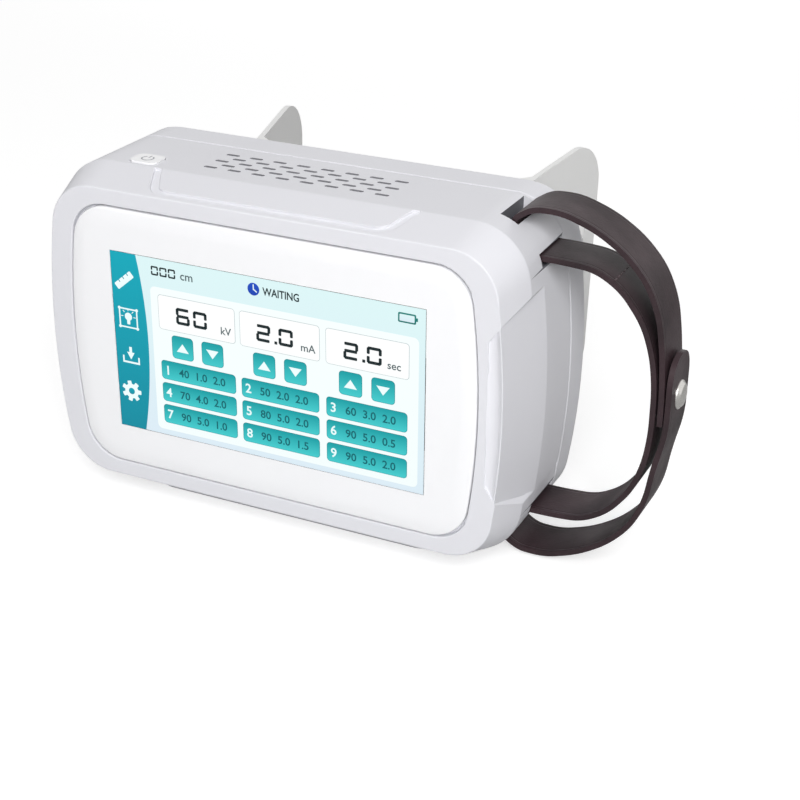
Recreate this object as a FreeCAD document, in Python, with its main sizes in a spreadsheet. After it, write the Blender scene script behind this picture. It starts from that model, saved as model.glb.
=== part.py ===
import FreeCAD, Part
import math
import os
import Sketcher

# Hand-held portable x-ray machine with a seven inch touch screen
# Millimetres, +Z up. +X is to the right of someone who looks at the screen, which faces -Y.
# The beam leaves towards +Y, between the two wings of the spacer frame.
# The origin is on the ground under the middle of the housing, which stands on a rubber pad.

Vec = FreeCAD.Vector

# Sizes: name, value in mm or degrees, what it is
SIZES = [
    ("screen_wide", 154.1, "visible glass of the seven inch screen"),
    ("screen_tall", 85.9, ""),
    ("screen_thick", 1.0, ""),
    ("panel_wide", 200.4, "glossy white front panel"),
    ("panel_tall", 125.0, ""),
    ("panel_corner", 17.0, ""),
    ("panel_thick", 3.0, "depth of the panel's seat in the front shell"),
    ("panel_proud", 1.2, "how far the panel stands out of the ring"),
    ("panel_edge", 1.1, "rounded rim of the panel"),
    ("seam_gap", 0.4, "shadow line between two mouldings"),
    ("ridge_wide", 223.4, "front ring, out to its ridge"),
    ("ridge_tall", 140.6, ""),
    ("ridge_corner", 22.0, ""),
    ("body_wide", 236.0, "housing at its widest"),
    ("body_tall", 153.0, ""),
    ("body_corner", 26.0, ""),
    ("side_curve", 340.0, "radius of the gently bowed short sides"),
    ("chamfer_deep", 19.5, "depth from the ring's ridge to the top face"),
    ("body_deep", 84.0, "depth of the flat rear face"),
    ("rear_long", 22.6, "length of the rear shell"),
    ("rear_bevel", 5.7, "its last part, which closes towards the rear face"),
    ("rear_inset", 6.0, "rear face smaller than the flanks by this, each side"),
    ("seam_line", 0.8, "depth of the shadow line round the housing"),
    ("dish_wide", 168.0, "shallow dish in the rear face"),
    ("dish_tall", 118.0, ""),
    ("dish_deep", 2.5, ""),
    ("dish_corner", 24.0, ""),
    ("vent_long", 6.5, "one dash of the vent field"),
    ("vent_wide", 2.1, ""),
    ("vent_deep", 3.0, ""),
    ("vent_pitch", 12.0, ""),
    ("vent_row", 4.85, ""),
    ("vent_back", 11.1, "from the seam to the last vent row"),
    ("vent_aside", 1.0, "the field lies to the left of the middle by this"),
    ("vent_count", 8, "dashes in a full row"),
    ("vent_rows", 5, ""),
    ("channel_half", 51.0, "U-shaped channel in the top chamfer, half its base"),
    ("channel_mouth", 63.0, "half its width at the upper end"),
    ("channel_low", 5.5, "depth at its base"),
    ("channel_wide", 3.2, ""),
    ("channel_deep", 1.2, ""),
    ("grip_edge", 104.0, "inner edge of the thumb recess, from the middle"),
    ("grip_half", 33.0, "half height of the thumb recess at that edge"),
    ("grip_slope", 1.4, "how fast it widens towards the side"),
    ("grip_groove", 1.2, "depth of the soft groove on the ring"),
    ("grip_groove_half", 3.4, "half width of that groove"),
    ("grip_over", 12.0, "how far the cutting tools reach past the flank"),
    ("grip_deep", 33.0, "depth at which the recess runs out on the flank"),
    ("slot_back", 15.4, "from the seam to the middle of the strap slots"),
    ("slot_long", 26.0, "length of a strap slot along the depth"),
    ("slot_inner", 94.0, "inner edge of the slot in the top face, from the middle"),
    ("bar_edge", 102.0, "start of the corner bar, from the middle"),
    ("bar_low", 61.0, "underside of the corner bar, above the middle"),
    ("slot_low", 55.5, "lower edge of the slot in the flank, above the middle"),
    ("strap_wide", 24.0, "leather hand strap"),
    ("strap_thick", 2.4, ""),
    ("strap_reach", 167.6, "outer layer of the strap, from the middle of the housing"),
    ("layer_step", 3.0, "from one layer of the strap to the next"),
    ("strap_gap", 0.9, "air between strap and corner bar"),
    ("strap_turn", 2.4, "radius of the strap's sharp turns"),
    ("strap_rise", 3.0, "how far the strap stands off the top face at its crown"),
    ("snap_radius", 7.3, "press stud on the strap's end"),
    ("snap_high", 5.0, "height of the press stud above the middle"),
    ("snap_dome", 2.4, ""),
    ("button_wide", 14.0, "power button in the top face"),
    ("button_long", 11.5, ""),
    ("button_corner", 3.4, ""),
    ("button_thick", 2.5, ""),
    ("button_proud", 0.7, ""),
    ("button_left", 73.5, "distance of the power button from the middle"),
    ("button_deep", 27.4, ""),
    ("small_gap", 0.3, "clearance round buttons, covers and plates"),
    ("plate_long", 36.0, "blank plate in the left flank"),
    ("plate_tall", 19.0, ""),
    ("plate_thick", 1.2, ""),
    ("plate_back", 22.4, "from the seam to its middle"),
    ("plate_high", 37.5, "height of the plate above the middle"),
    ("cover_long", 28.0, "hinged cover over the sockets in the left flank"),
    ("cover_tall", 17.0, ""),
    ("cover_thick", 2.2, ""),
    ("cover_back", 17.4, "from the seam to its middle"),
    ("cover_low", 40.0, "distance of the cover below the middle"),
    ("well_deep", 7.0, "socket well behind the cover"),
    ("well_lip", 2.0, "ledge that the closed cover rests on"),
    ("socket_thick", 3.0, ""),
    ("plug_radius", 7.0, "white cap in the rear face"),
    ("plug_side", 106.0, ""),
    ("plug_high", 49.0, ""),
    ("plug_thick", 2.0, ""),
    ("plug_proud", 0.8, ""),
    ("pad_wide", 150.0, "rubber pad under the housing"),
    ("pad_long", 48.0, ""),
    ("pad_tall", 6.0, ""),
    ("pad_corner", 12.0, ""),
    ("wing_base", 68.0, "spacer frame: half width at the housing"),
    ("wing_long", 94.7, "length of a wing along its top edge's plan line"),
    ("wing_low_long", 88.9, "the same at its lower edge"),
    ("wing_splay", 10.3, "degrees, outward"),
    ("wing_thick", 2.8, ""),
    ("wing_top", 57.0, "top of the frame at the housing, above the middle"),
    ("wing_tip_top", 68.5, "the same at the tip"),
    ("wing_bottom", 46.8, "bottom of the frame at the housing, below the middle"),
    ("wing_tip_bottom", 55.0, "the same at the tip"),
    ("tip_round", 21.0, "corner radius at the top of the tip"),
    ("tip_low_round", 12.0, ""),
    ("heel_round", 2.0, "lower corner at the housing"),
    ("window_rear", 14.0, "window in a wing: border at the housing"),
    ("window_tip", 12.5, "border at the tip"),
    ("window_top", 17.0, "border at the top, at the housing"),
    ("window_tip_top", 23.5, "the same at the tip"),
    ("window_bottom", 16.0, "border at the bottom"),
    ("window_round", 7.0, ""),
    ("window_tip_round", 10.0, "its corner under the rounded tip"),
    ("flange_wide", 12.0, "inward flange along the top and bottom edges"),
    ("flange_rear", 11.5, "its width along the housing"),
    ("flange_top_end", 37.0, "where the top flange ends on the wing"),
    ("flange_low_end", 84.0, "the same for the bottom flange"),
    ("flange_taper", 11.0, "length of a flange's slanting end"),
    ("frame_step", 8.7, "from the rear face to the frame's corners"),
    ("base_thick", 3.0, "rear plate of the frame"),
    ("plinth_wide", 116.0, "plinth between housing and frame"),
    ("plinth_tall", 88.0, ""),
    ("plinth_round", 20.0, ""),
    ("beam_high", 5.4, "height of the beam axis above the middle"),
    ("drum_radius", 54.6, "collimator drum"),
    ("neck_long", 14.3, "from the frame's corners to the drum"),
    ("drum_long", 9.5, "length of the drum's rear half"),
    ("cup_long", 6.0, "length of its front half"),
    ("cap_thick", 2.5, "front plate"),
    ("neck_radius", 46.0, "neck that carries the drum"),
    ("aperture", 34.0, "square window in the front plate"),
    ("aperture_round", 2.5, ""),
    ("aperture_drop", 3.4, "its centre lies below the beam axis by this"),
    ("aperture_deep", 12.0, ""),
    ("lens_thick", 1.5, "clear cover over the aperture"),
    ("lens_step", 2.0, "how far the cover lies behind the front plate's face"),
    ("insert_radius", 12.0, "amber filter dome behind the cover"),
    ("insert_high", 4.0, ""),
    ("wheel_radius", 12.0, "thumb wheel at the drum's edge"),
    ("wheel_thick", 4.0, ""),
    ("wheel_from_axis", 49.0, "distance of its centre from the beam axis"),
    ("wheel_angle", 48.0, "degrees above +X"),
    ("wheel_teeth", 24, ""),
    ("tooth_deep", 0.7, ""),
    ("clip_side", 97.0, "hand switch clip: its distance from the middle"),
    ("clip_wide", 38.0, ""),
    ("clip_long", 25.0, "from the rear face to the tips of its arms"),
    ("clip_tall", 30.0, ""),
    ("clip_bottom", 6.0, "its underside, below the middle"),
    ("clip_bore", 13.0, "radius of its bore"),
    ("clip_offset", 2.5, "the bore's distance from the clip's middle, inwards"),
    ("clip_wall", 2.5, "wall between bore and rear face"),
    ("clip_throat", 20.0, "gap between its arms"),
    ("clip_round", 3.0, ""),
]

os.makedirs("parts", exist_ok=True)
doc = FreeCAD.newDocument("portable_xray")
sheet = doc.addObject("Spreadsheet::Sheet", "Sizes")
for row, (alias, number, note) in enumerate(SIZES, start=1):
    sheet.set("A%d" % row, alias)
    sheet.set("B%d" % row, repr(number))
    sheet.set("C%d" % row, note)
    sheet.setAlias("B%d" % row, alias)
doc.recompute()


def size(alias):
    return float(sheet.get(alias))


HALF_DEEP = size("body_deep") / 2
SEAM = size("body_deep") - size("rear_long")
FLANK_END = size("body_deep") - size("rear_bevel")
FRAME = size("body_deep") + size("frame_step")
DRUM = FRAME + size("neck_long")
CUP = DRUM + size("drum_long")
CAP = CUP + size("cup_long")
FRONT = CAP + size("cap_thick")
SLOT = SEAM - size("slot_back")
MIDDLE = size("body_tall") / 2 + size("pad_tall")
pieces = []


# Helpers

def at(x, depth, high):
    """A point from its place beside the middle, its depth behind the ring and its height over the middle."""
    return Vec(x, depth - HALF_DEEP, high + MIDDLE)


def keep(label, shape):
    """Register a finished solid as an object of the document."""
    item = doc.addObject("Part::Feature", label)
    item.Shape = shape
    item.Label = label
    pieces.append(item)
    return item


def block(x_low, x_high, deep_low, deep_high, low, high):
    corner = at(x_low, deep_low, low)
    return Part.makeBox(x_high - x_low, deep_high - deep_low, high - low, corner)


def corner_arc(before, here, after, radius):
    """Start, middle and end of the arc that rounds one corner; a radius of 0 leaves it sharp."""
    spot = Vec(here[0], here[1], 0)
    if radius == 0:
        return spot, spot, spot
    to_before = Vec(before[0] - here[0], before[1] - here[1], 0).normalize()
    to_after = Vec(after[0] - here[0], after[1] - here[1], 0).normalize()
    half = to_before.getAngle(to_after) / 2
    reach = radius / math.tan(half)
    centre = spot + (to_before + to_after).normalize() * (radius / math.sin(half))
    middle = centre + (spot - centre).normalize() * radius
    return spot + to_before * reach, middle, spot + to_after * reach


def rounded_wire(corners, radii, place):
    """A closed wire of straight runs and tangent arcs; place maps (u, v) to a point in space."""
    count = len(corners)
    arcs = [corner_arc(corners[i - 1], corners[i], corners[(i + 1) % count], radii[i]) for i in range(count)]
    edges = []
    for i, (start, middle, end) in enumerate(arcs):
        if radii[i] > 0:
            edges.append(Part.Arc(*[place(p.x, p.y) for p in (start, middle, end)]).toShape())
        following = arcs[(i + 1) % count][0]
        edges.append(Part.makeLine(place(end.x, end.y), place(following.x, following.y)))
    return Part.Wire(edges)


def rounded_slab(wide, tall, corner, deep_low, deep_high, x=0.0, high=0.0):
    """A rounded rectangle seen from the front, between two depths."""
    u, v = wide / 2, tall / 2
    corners = [(x - u, high - v), (x + u, high - v), (x + u, high + v), (x - u, high + v)]
    wire = rounded_wire(corners, [corner] * 4, lambda a, b: at(a, deep_low, b))
    return Part.Face(wire).extrude(Vec(0, deep_high - deep_low, 0))


def bowed_wire(wide, tall, corner, depth):
    """The housing's outline at one depth: straight long sides, round corners and bowed short sides."""
    bow = size("side_curve")
    far = wide / 2 - bow
    rise = tall / 2 - corner
    run = math.sqrt((bow - corner) ** 2 - rise ** 2)
    corner_x = far + run
    lean = math.atan2(rise, run)
    touch_x = far + bow * math.cos(lean)
    touch_z = bow * math.sin(lean)
    mid = (lean + math.pi / 2) / 2
    mid_x = corner_x + corner * math.cos(mid)
    mid_z = rise + corner * math.sin(mid)
    edges = []
    for side, start in ((1, -1), (-1, 1)):
        low, high = start * touch_z, -start * touch_z
        edges.append(Part.Arc(at(side * touch_x, depth, low), at(side * wide / 2, depth, 0),
                              at(side * touch_x, depth, high)).toShape())
        edges.append(Part.Arc(at(side * touch_x, depth, high), at(side * mid_x, depth, -start * mid_z),
                              at(side * corner_x, depth, -start * tall / 2)).toShape())
        edges.append(Part.makeLine(at(side * corner_x, depth, -start * tall / 2),
                                   at(-side * corner_x, depth, -start * tall / 2)))
        edges.append(Part.Arc(at(-side * corner_x, depth, -start * tall / 2),
                              at(-side * mid_x, depth, -start * mid_z),
                              at(-side * touch_x, depth, high)).toShape())
    return Part.Wire(edges)


def bowed_slab(wide, tall, corner, deep_low, deep_high):
    face = Part.Face(bowed_wire(wide, tall, corner, deep_low))
    return face.extrude(Vec(0, deep_high - deep_low, 0))


def mirrored(shape, normal):
    """A mirror copy through the middle of the housing."""
    return shape.mirror(at(0, size("body_deep") / 2, 0), normal)


def band_face(points, thick, place):
    """A strip of one thickness along a route of straight runs joined by tangent arcs."""
    spots = [Vec(u, v, 0) for u, v in points]
    runs = [(b - a) for a, b in zip(spots, spots[1:])]
    bends = []
    for i in range(1, len(spots) - 1):
        turn = runs[i - 1].getAngle(runs[i])
        radius = 0.45 * min(runs[i - 1].Length, runs[i].Length) / math.tan(turn / 2)
        if turn > math.radians(50):
            radius = min(radius, size("strap_turn"))
        reach = radius * math.tan(turn / 2)
        go_in = Vec(runs[i - 1]).normalize()
        go_out = Vec(runs[i]).normalize()
        left_turn = go_in.cross(go_out).z > 0
        bends.append((spots[i], go_in, go_out, reach, radius, left_turn))

    def chain(offset):
        """Lines and arcs at this distance to the left of the route."""
        def left(direction):
            return Vec(-direction.y, direction.x, 0) * offset
        parts = []
        last = spots[0] + left(Vec(runs[0]).normalize())
        for spot, go_in, go_out, reach, radius, left_turn in bends:
            begin = spot - go_in * reach + left(go_in)
            finish = spot + go_out * reach + left(go_out)
            inward = (go_out - go_in).normalize()
            centre = spot + inward * math.hypot(radius, reach)
            middle = centre - inward * (radius - offset if left_turn else radius + offset)
            parts.append((last, begin))
            parts.append((begin, middle, finish))
            last = finish
        parts.append((last, spots[-1] + left(Vec(runs[-1]).normalize())))
        return parts

    def edges_of(parts):
        made = []
        for item in parts:
            where = [place(p.x, p.y) for p in item]
            if len(where) == 2:
                made.append(Part.makeLine(*where))
            else:
                made.append(Part.Arc(*where).toShape())
        return made

    left_side = chain(thick / 2)
    right_side = chain(-thick / 2)
    caps = [(left_side[0][0], right_side[0][0]), (left_side[-1][-1], right_side[-1][-1])]
    edges = edges_of(left_side) + edges_of(right_side) + edges_of(caps)
    return Part.Face(Part.Wire(Part.__sortEdges__(edges)))


# Parametric bodies for the small moulded pieces

def new_body(label):
    body = doc.addObject("PartDesign::Body", label)
    body.Label = label
    pieces.append(body)
    return body


def sketch_on(body, role, name):
    sketch = body.newObject("Sketcher::SketchObject", name)
    plane = [item for item in body.Origin.OriginFeatures if item.Role == role][0]
    sketch.AttachmentSupport = (plane, [""])
    sketch.MapMode = "FlatFace"
    return sketch


def rectangle(body, role, name, wide, tall):
    """A rectangle centred on the body's origin, with its two sizes bound to the sheet."""
    sketch = sketch_on(body, role, name)
    spots = [Vec(-5, -4, 0), Vec(5, -4, 0), Vec(5, 4, 0), Vec(-5, 4, 0)]
    for i in range(4):
        sketch.addGeometry(Part.LineSegment(spots[i], spots[(i + 1) % 4]), False)
    for i in range(4):
        sketch.addConstraint(Sketcher.Constraint("Coincident", i, 2, (i + 1) % 4, 1))
    for i, kind in enumerate(("Horizontal", "Vertical", "Horizontal", "Vertical")):
        sketch.addConstraint(Sketcher.Constraint(kind, i))
    sketch.addConstraint(Sketcher.Constraint("Symmetric", 0, 1, 1, 2, -1, 1))
    across = sketch.addConstraint(Sketcher.Constraint("DistanceX", 0, 1, 0, 2, 10.0))
    along = sketch.addConstraint(Sketcher.Constraint("DistanceY", 1, 1, 1, 2, 8.0))
    sketch.setExpression("Constraints[%d]" % across, wide)
    sketch.setExpression("Constraints[%d]" % along, tall)
    return sketch


def circle(body, role, name, radius):
    sketch = sketch_on(body, role, name)
    sketch.addGeometry(Part.Circle(Vec(0, 0, 0), Vec(0, 0, 1), 5.0), False)
    sketch.addConstraint(Sketcher.Constraint("Coincident", 0, 3, -1, 1))
    rule = sketch.addConstraint(Sketcher.Constraint("Radius", 0, 5.0))
    sketch.setExpression("Constraints[%d]" % rule, radius)
    return sketch


def extrude(body, kind, sketch, length, backwards=False):
    """A pad or a pocket whose length is bound to the sheet."""
    feature = body.newObject("PartDesign::" + kind, body.Name + "_" + kind + "_" + sketch.Name)
    feature.Profile = sketch
    feature.setExpression("Length", length)
    feature.Reversed = backwards
    doc.recompute()
    return feature


def dress(body, kind, feature, edges, amount):
    """Round or bevel named edges of a feature."""
    finish = body.newObject("PartDesign::" + kind, body.Name + "_" + kind + str(len(body.Group)))
    finish.Base = (feature, edges)
    finish.setExpression("Radius" if kind == "Fillet" else "Size", amount)
    doc.recompute()
    return finish


def edges_where(shape, test):
    return ["Edge%d" % (i + 1) for i, edge in enumerate(shape.Edges) if test(edge)]


def along(axis):
    """A test for straight edges along one axis."""
    def test(edge):
        if not isinstance(edge.Curve, Part.Line):
            return False
        return abs(edge.Curve.Direction.dot(axis)) > 0.999
    return test


X, Y, Z = Vec(1, 0, 0), Vec(0, 1, 0), Vec(0, 0, 1)


# Housing

def housing_block(deep_low, deep_high):
    return bowed_slab(size("body_wide"), size("body_tall"), size("body_corner"), deep_low, deep_high)


def vent_field():
    """Staggered dashes with blunt corners in the top face, in rows of eight and seven."""
    full = int(size("vent_count"))
    rows = int(size("vent_rows"))
    low = size("body_tall") / 2 - size("vent_deep")
    half, side = size("vent_long") / 2, size("vent_wide") / 2
    blunt = side * 0.6
    cuts = []
    for row in range(rows):
        count = full - row % 2
        deep = SEAM - size("vent_back") - (rows - 1 - row) * size("vent_row")
        for i in range(count):
            x = (i - (count - 1) / 2) * size("vent_pitch") - size("vent_aside")
            outline = [(-half + blunt, -side), (half - blunt, -side), (half, -side + blunt), (half, side - blunt),
                       (half - blunt, side), (-half + blunt, side), (-half, side - blunt), (-half, -side + blunt)]
            corners = [at(x + u, deep + v, low) for u, v in outline]
            dash = Part.Face(Part.makePolygon(corners + corners[:1]))
            cuts.append(dash.extrude(Vec(0, 0, size("vent_deep") + 1)))
    return Part.makeCompound(cuts)


def top_channel():
    """U-shaped channel in the top chamfer, with legs that flare towards the top face."""
    deep_high = size("chamfer_deep")
    rise = (size("body_tall") - size("ridge_tall")) / 2
    lean = math.degrees(math.atan2(rise, deep_high))
    slope = math.hypot(rise, deep_high)
    low = size("channel_low")
    ridge = at(0, 0, size("ridge_tall") / 2)

    def place(u, v):
        return Vec(u, v, 0)

    wires = []
    for grow in (0, size("channel_wide")):
        u_low = size("channel_half") + 3 + grow
        u_high = size("channel_mouth") + grow
        corners = [(-u_high, slope + 4), (-u_low, low - grow), (u_low, low - grow), (u_high, slope + 4)]
        wires.append(rounded_wire(corners, [0, 6 + grow, 6 + grow, 0], place))
    outer = Part.Face(wires[1]).extrude(Vec(0, 0, 4))
    inner = Part.Face(wires[0]).extrude(Vec(0, 0, 4))
    channel = outer.cut(inner)
    channel.translate(Vec(0, 0, -size("channel_deep")))
    channel.rotate(Vec(0, 0, 0), X, lean)
    channel.translate(ridge)
    keep_low = block(-200, 200, -1, deep_high, 0, 200)
    return channel.common(keep_low)


def thumb_recess():
    """Soft groove on the ring and a flat on the right chamfer, between two slanting ends."""
    half_ridge = size("ridge_wide") / 2
    half_body = size("body_wide") / 2
    edge = size("grip_edge")
    deep = size("grip_deep")
    groove = size("grip_groove")
    half = size("grip_groove_half")
    radius = (half ** 2 + groove ** 2) / (2 * groove)
    centre_x = edge + half
    groove_face = Part.Face(Part.Wire(Part.makeCircle(radius, at(centre_x, groove - radius, 0), Z)))
    over = size("grip_over")
    flat = Part.makePolygon([at(half_ridge - 0.3, -3, 0), at(half_ridge - 0.3, 0.5, 0),
                             at(half_body + 0.1, deep, 0), at(half_body + over, deep, 0),
                             at(half_body + over, -3, 0), at(half_ridge - 0.3, -3, 0)])
    pivot = at(half_body - size("side_curve"), 0, 0)
    sweep = 30
    tools = []
    for face in (groove_face, Part.Face(flat)):
        start = face.copy()
        start.rotate(pivot, Y, -sweep / 2)
        tools.append(start.revolve(pivot, Y, sweep))
    far = half_body + over - edge
    reach = size("grip_half") + far * size("grip_slope")
    ends = Part.makePolygon([at(edge, -4, -size("grip_half")), at(edge + far, -4, -reach),
                             at(edge + far, -4, reach), at(edge, -4, size("grip_half")),
                             at(edge, -4, -size("grip_half"))])
    prism = Part.Face(ends).extrude(Vec(0, deep + 6, 0))
    return tools[0].fuse(tools[1]).common(prism)


def strap_slots():
    """Two slots at each right-hand corner, with a corner bar left between them."""
    half = size("slot_long") / 2
    deep_low, deep_high = SLOT - half, SLOT + half
    half_body = size("body_wide") / 2
    half_tall = size("body_tall") / 2
    down = block(size("slot_inner"), size("bar_edge"), deep_low, deep_high, size("slot_low"), half_tall + 2)
    across = block(size("slot_inner"), half_body + 2, deep_low, deep_high, size("slot_low"), size("bar_low"))
    upper = down.fuse(across).removeSplitter()
    return upper.fuse(mirrored(upper, Z))


def flank_box(long, tall, deep, high, thick, grow=0.0):
    """A box let into the bowed left flank, wide enough to reach out of it."""
    surface = flank_at(high)
    return block(-size("body_wide"), -surface + thick + grow, deep - long / 2 - grow, deep + long / 2 + grow,
                 high - tall / 2 - grow, high + tall / 2 + grow)


def flank_at(high):
    """Half width of the housing at a height over its middle, on the bowed side."""
    bow = size("side_curve")
    return size("body_wide") / 2 - bow + math.sqrt(bow ** 2 - high ** 2)


def front_shell():
    deep = size("chamfer_deep")
    ring = bowed_wire(size("ridge_wide"), size("ridge_tall"), size("ridge_corner"), 0)
    full = bowed_wire(size("body_wide"), size("body_tall"), size("body_corner"), deep)
    nose = Part.makeLoft([ring, full], True, True)
    shell = nose.fuse(housing_block(deep, SEAM)).removeSplitter()
    gap = size("seam_gap")
    seat = bowed_slab(size("panel_wide") + 2 * gap, size("panel_tall") + 2 * gap,
                      size("panel_corner") + gap, -1, size("panel_thick"))
    line = housing_block(SEAM - gap, SEAM).cut(
        bowed_slab(size("body_wide") - 2 * size("seam_line"), size("body_tall") - 2 * size("seam_line"),
                   size("body_corner") - size("seam_line"), SEAM - gap, SEAM))
    cuts = [seat, line, vent_field(), top_channel(), thumb_recess(), strap_slots(), button_seat()]
    cuts.append(flank_box(size("plate_long"), size("plate_tall"), SEAM - size("plate_back"), size("plate_high"),
                          size("plate_thick"), size("small_gap")))
    cuts.append(flank_box(size("cover_long"), size("cover_tall"), SEAM - size("cover_back"), -size("cover_low"),
                          size("cover_thick"), size("small_gap")))
    cuts.append(socket_well())
    for cut in cuts:
        shell = shell.cut(cut)
    return keep("front_shell", shell)


def button_seat():
    gap = size("small_gap")
    half_x, half_y = size("button_wide") / 2 + gap, size("button_long") / 2 + gap
    x, deep = -size("button_left"), size("button_deep")
    corners = [(x - half_x, deep - half_y), (x + half_x, deep - half_y),
               (x + half_x, deep + half_y), (x - half_x, deep + half_y)]
    low = size("body_tall") / 2 + size("button_proud") - size("button_thick")
    wire = rounded_wire(corners, [size("button_corner") + gap] * 4, lambda a, b: at(a, b, low))
    return Part.Face(wire).extrude(Vec(0, 0, size("button_thick") + 1))


def socket_well():
    lip = size("well_lip")
    return flank_box(size("cover_long") - 2 * lip, size("cover_tall") - 2 * lip, SEAM - size("cover_back"),
                     -size("cover_low"), size("well_deep"))


def rear_shell():
    flank = housing_block(SEAM, FLANK_END)
    inset = size("rear_inset")
    wide = bowed_wire(size("body_wide"), size("body_tall"), size("body_corner"), FLANK_END)
    small = bowed_wire(size("body_wide") - 2 * inset, size("body_tall") - 2 * inset,
                       size("body_corner") - inset / 2, size("body_deep"))
    shell = flank.fuse(Part.makeLoft([wide, small], True, True)).removeSplitter()
    rear = size("body_deep")
    shell = shell.cut(rounded_slab(size("dish_wide"), size("dish_tall"), size("dish_corner"),
                                   rear - size("dish_deep"), rear + 1))
    cap = Part.makeCylinder(size("plug_radius"), size("plug_thick") + 1,
                            at(size("plug_side"), rear - size("plug_thick"), size("plug_high")), Y)
    return keep("rear_shell", shell.cut(cap))


# Pieces set into the housing

def face_panel():
    deep = size("panel_thick")
    panel = bowed_slab(size("panel_wide"), size("panel_tall"), size("panel_corner"),
                       -size("panel_proud"), deep)
    front = [edge for edge in panel.Edges if abs(edge.BoundBox.YMax + HALF_DEEP + size("panel_proud")) < 0.01]
    panel = panel.makeChamfer(size("panel_edge"), front)
    glass = block(-size("screen_wide") / 2, size("screen_wide") / 2, -size("panel_proud") - 1,
                  size("screen_thick") - size("panel_proud"), -size("screen_tall") / 2, size("screen_tall") / 2)
    return keep("face_panel", panel.cut(glass))


def touch_screen():
    body = new_body("touch_screen")
    sketch = rectangle(body, "XZ_Plane", "glass_outline", "Sizes.screen_wide", "Sizes.screen_tall")
    extrude(body, "Pad", sketch, "Sizes.screen_thick", backwards=True)
    body.setExpression("Placement.Base.y", "-Sizes.body_deep / 2 - Sizes.panel_proud")
    body.setExpression("Placement.Base.z", "Sizes.body_tall / 2 + Sizes.pad_tall")
    return body


def power_button():
    body = new_body("power_button")
    sketch = rectangle(body, "XY_Plane", "cap_outline", "Sizes.button_wide", "Sizes.button_long")
    pad = extrude(body, "Pad", sketch, "Sizes.button_thick")
    upright = edges_where(pad.Shape, along(Z))
    dress(body, "Fillet", pad, upright, "Sizes.button_corner")
    body.setExpression("Placement.Base.x", "-Sizes.button_left")
    body.setExpression("Placement.Base.y", "Sizes.button_deep - Sizes.body_deep / 2")
    body.setExpression("Placement.Base.z", "Sizes.pad_tall + Sizes.body_tall + Sizes.button_proud - Sizes.button_thick")
    return body


def side_plate():
    """Blank plate whose outer face follows the bowed flank."""
    inlay = flank_box(size("plate_long"), size("plate_tall"), SEAM - size("plate_back"), size("plate_high"),
                      size("plate_thick"))
    return keep("side_plate", inlay.common(housing_block(size("chamfer_deep"), SEAM)))


def socket_cover():
    """Hinged cover over the sockets; it swings out about its front edge."""
    lid = flank_box(size("cover_long"), size("cover_tall"), SEAM - size("cover_back"), -size("cover_low"),
                    size("cover_thick"))
    return keep("socket_cover", lid.common(housing_block(size("chamfer_deep"), SEAM)))


def socket_block():
    """Sockets at the bottom of the well: an eight-sided one for charging and a flat one for data."""
    lip = size("well_lip") + size("small_gap")
    long = size("cover_long") - 2 * lip
    tall = size("cover_tall") - 2 * lip
    floor = -flank_at(-size("cover_low")) + size("well_deep")
    front = floor - size("socket_thick")
    deep, high = SEAM - size("cover_back"), -size("cover_low")
    base = block(front, floor, deep - long / 2, deep + long / 2, high - tall / 2, high + tall / 2)
    slot = block(front - 1, floor - 0.5, deep - long / 3, deep - long / 24, high - tall / 10, high + tall / 10)
    turns = [math.pi * (i + 0.5) / 4 for i in range(8)]
    corners = [at(front - 1, deep + long / 4 + tall / 4 * math.cos(turn), high + tall / 4 * math.sin(turn))
               for turn in turns]
    jack = Part.Face(Part.makePolygon(corners + corners[:1])).extrude(Vec(size("socket_thick") + 0.5, 0, 0))
    return keep("socket_block", base.cut(slot).cut(jack))


def rear_plug():
    body = new_body("rear_plug")
    sketch = circle(body, "XZ_Plane", "cap_circle", "Sizes.plug_radius - Sizes.small_gap")
    extrude(body, "Pad", sketch, "Sizes.plug_thick + Sizes.plug_proud", backwards=True)
    body.setExpression("Placement.Base.x", "Sizes.plug_side")
    body.setExpression("Placement.Base.y", "Sizes.body_deep / 2 - Sizes.plug_thick")
    body.setExpression("Placement.Base.z", "Sizes.body_tall / 2 + Sizes.pad_tall + Sizes.plug_high")
    return body


def base_pad():
    """Rubber pad that keeps the strap off the ground."""
    body = new_body("base_pad")
    sketch = rectangle(body, "XY_Plane", "pad_outline", "Sizes.pad_wide", "Sizes.pad_long")
    pad = extrude(body, "Pad", sketch, "Sizes.pad_tall")
    dress(body, "Fillet", pad, edges_where(pad.Shape, along(Z)), "Sizes.pad_corner")
    return body


# Hand strap

def strap_route():
    """Middle line of the strap in (x, height over the middle), from its hidden end to its tab."""
    thick = size("strap_thick")
    beside = size("bar_edge") - size("strap_gap") - thick / 2
    under = size("bar_low") - size("strap_gap") - thick / 2
    half_body = size("body_wide") / 2
    top = size("body_tall") / 2
    outer = size("strap_reach")
    inner = outer - size("layer_step")
    tab = outer + size("layer_step")

    def out(share, reach=outer):
        return half_body + share * (reach - half_body)

    over = [(out(0.976), 26.0), (out(0.927), 42.0), (out(0.81), 55.5), (out(0.607), 66.5), (out(0.343), 74.8),
            (out(0.04), top + size("strap_rise") + 0.3), (half_body - 10.5, top + size("strap_rise")),
            (beside, top - 2.0), (beside, under)]
    back = [(out(0.086, inner), under), (out(0.386, inner), under - 1.0), (out(0.635, inner), 51.0),
            (out(0.85, inner), 38.0), (out(0.953, inner), 24.0), (out(0.991, inner), 10.0)]
    lower_back = [(x, -high) for x, high in reversed(back)]
    lower_over = [(x, -high) for x, high in reversed(over)]
    hidden = [(outer, -6.0), (outer - 0.1, 10.0)]
    return hidden + over + back + lower_back + lower_over + [(tab - 0.2, -9.0), (tab, 6.0), (tab, 24.0)]


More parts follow.
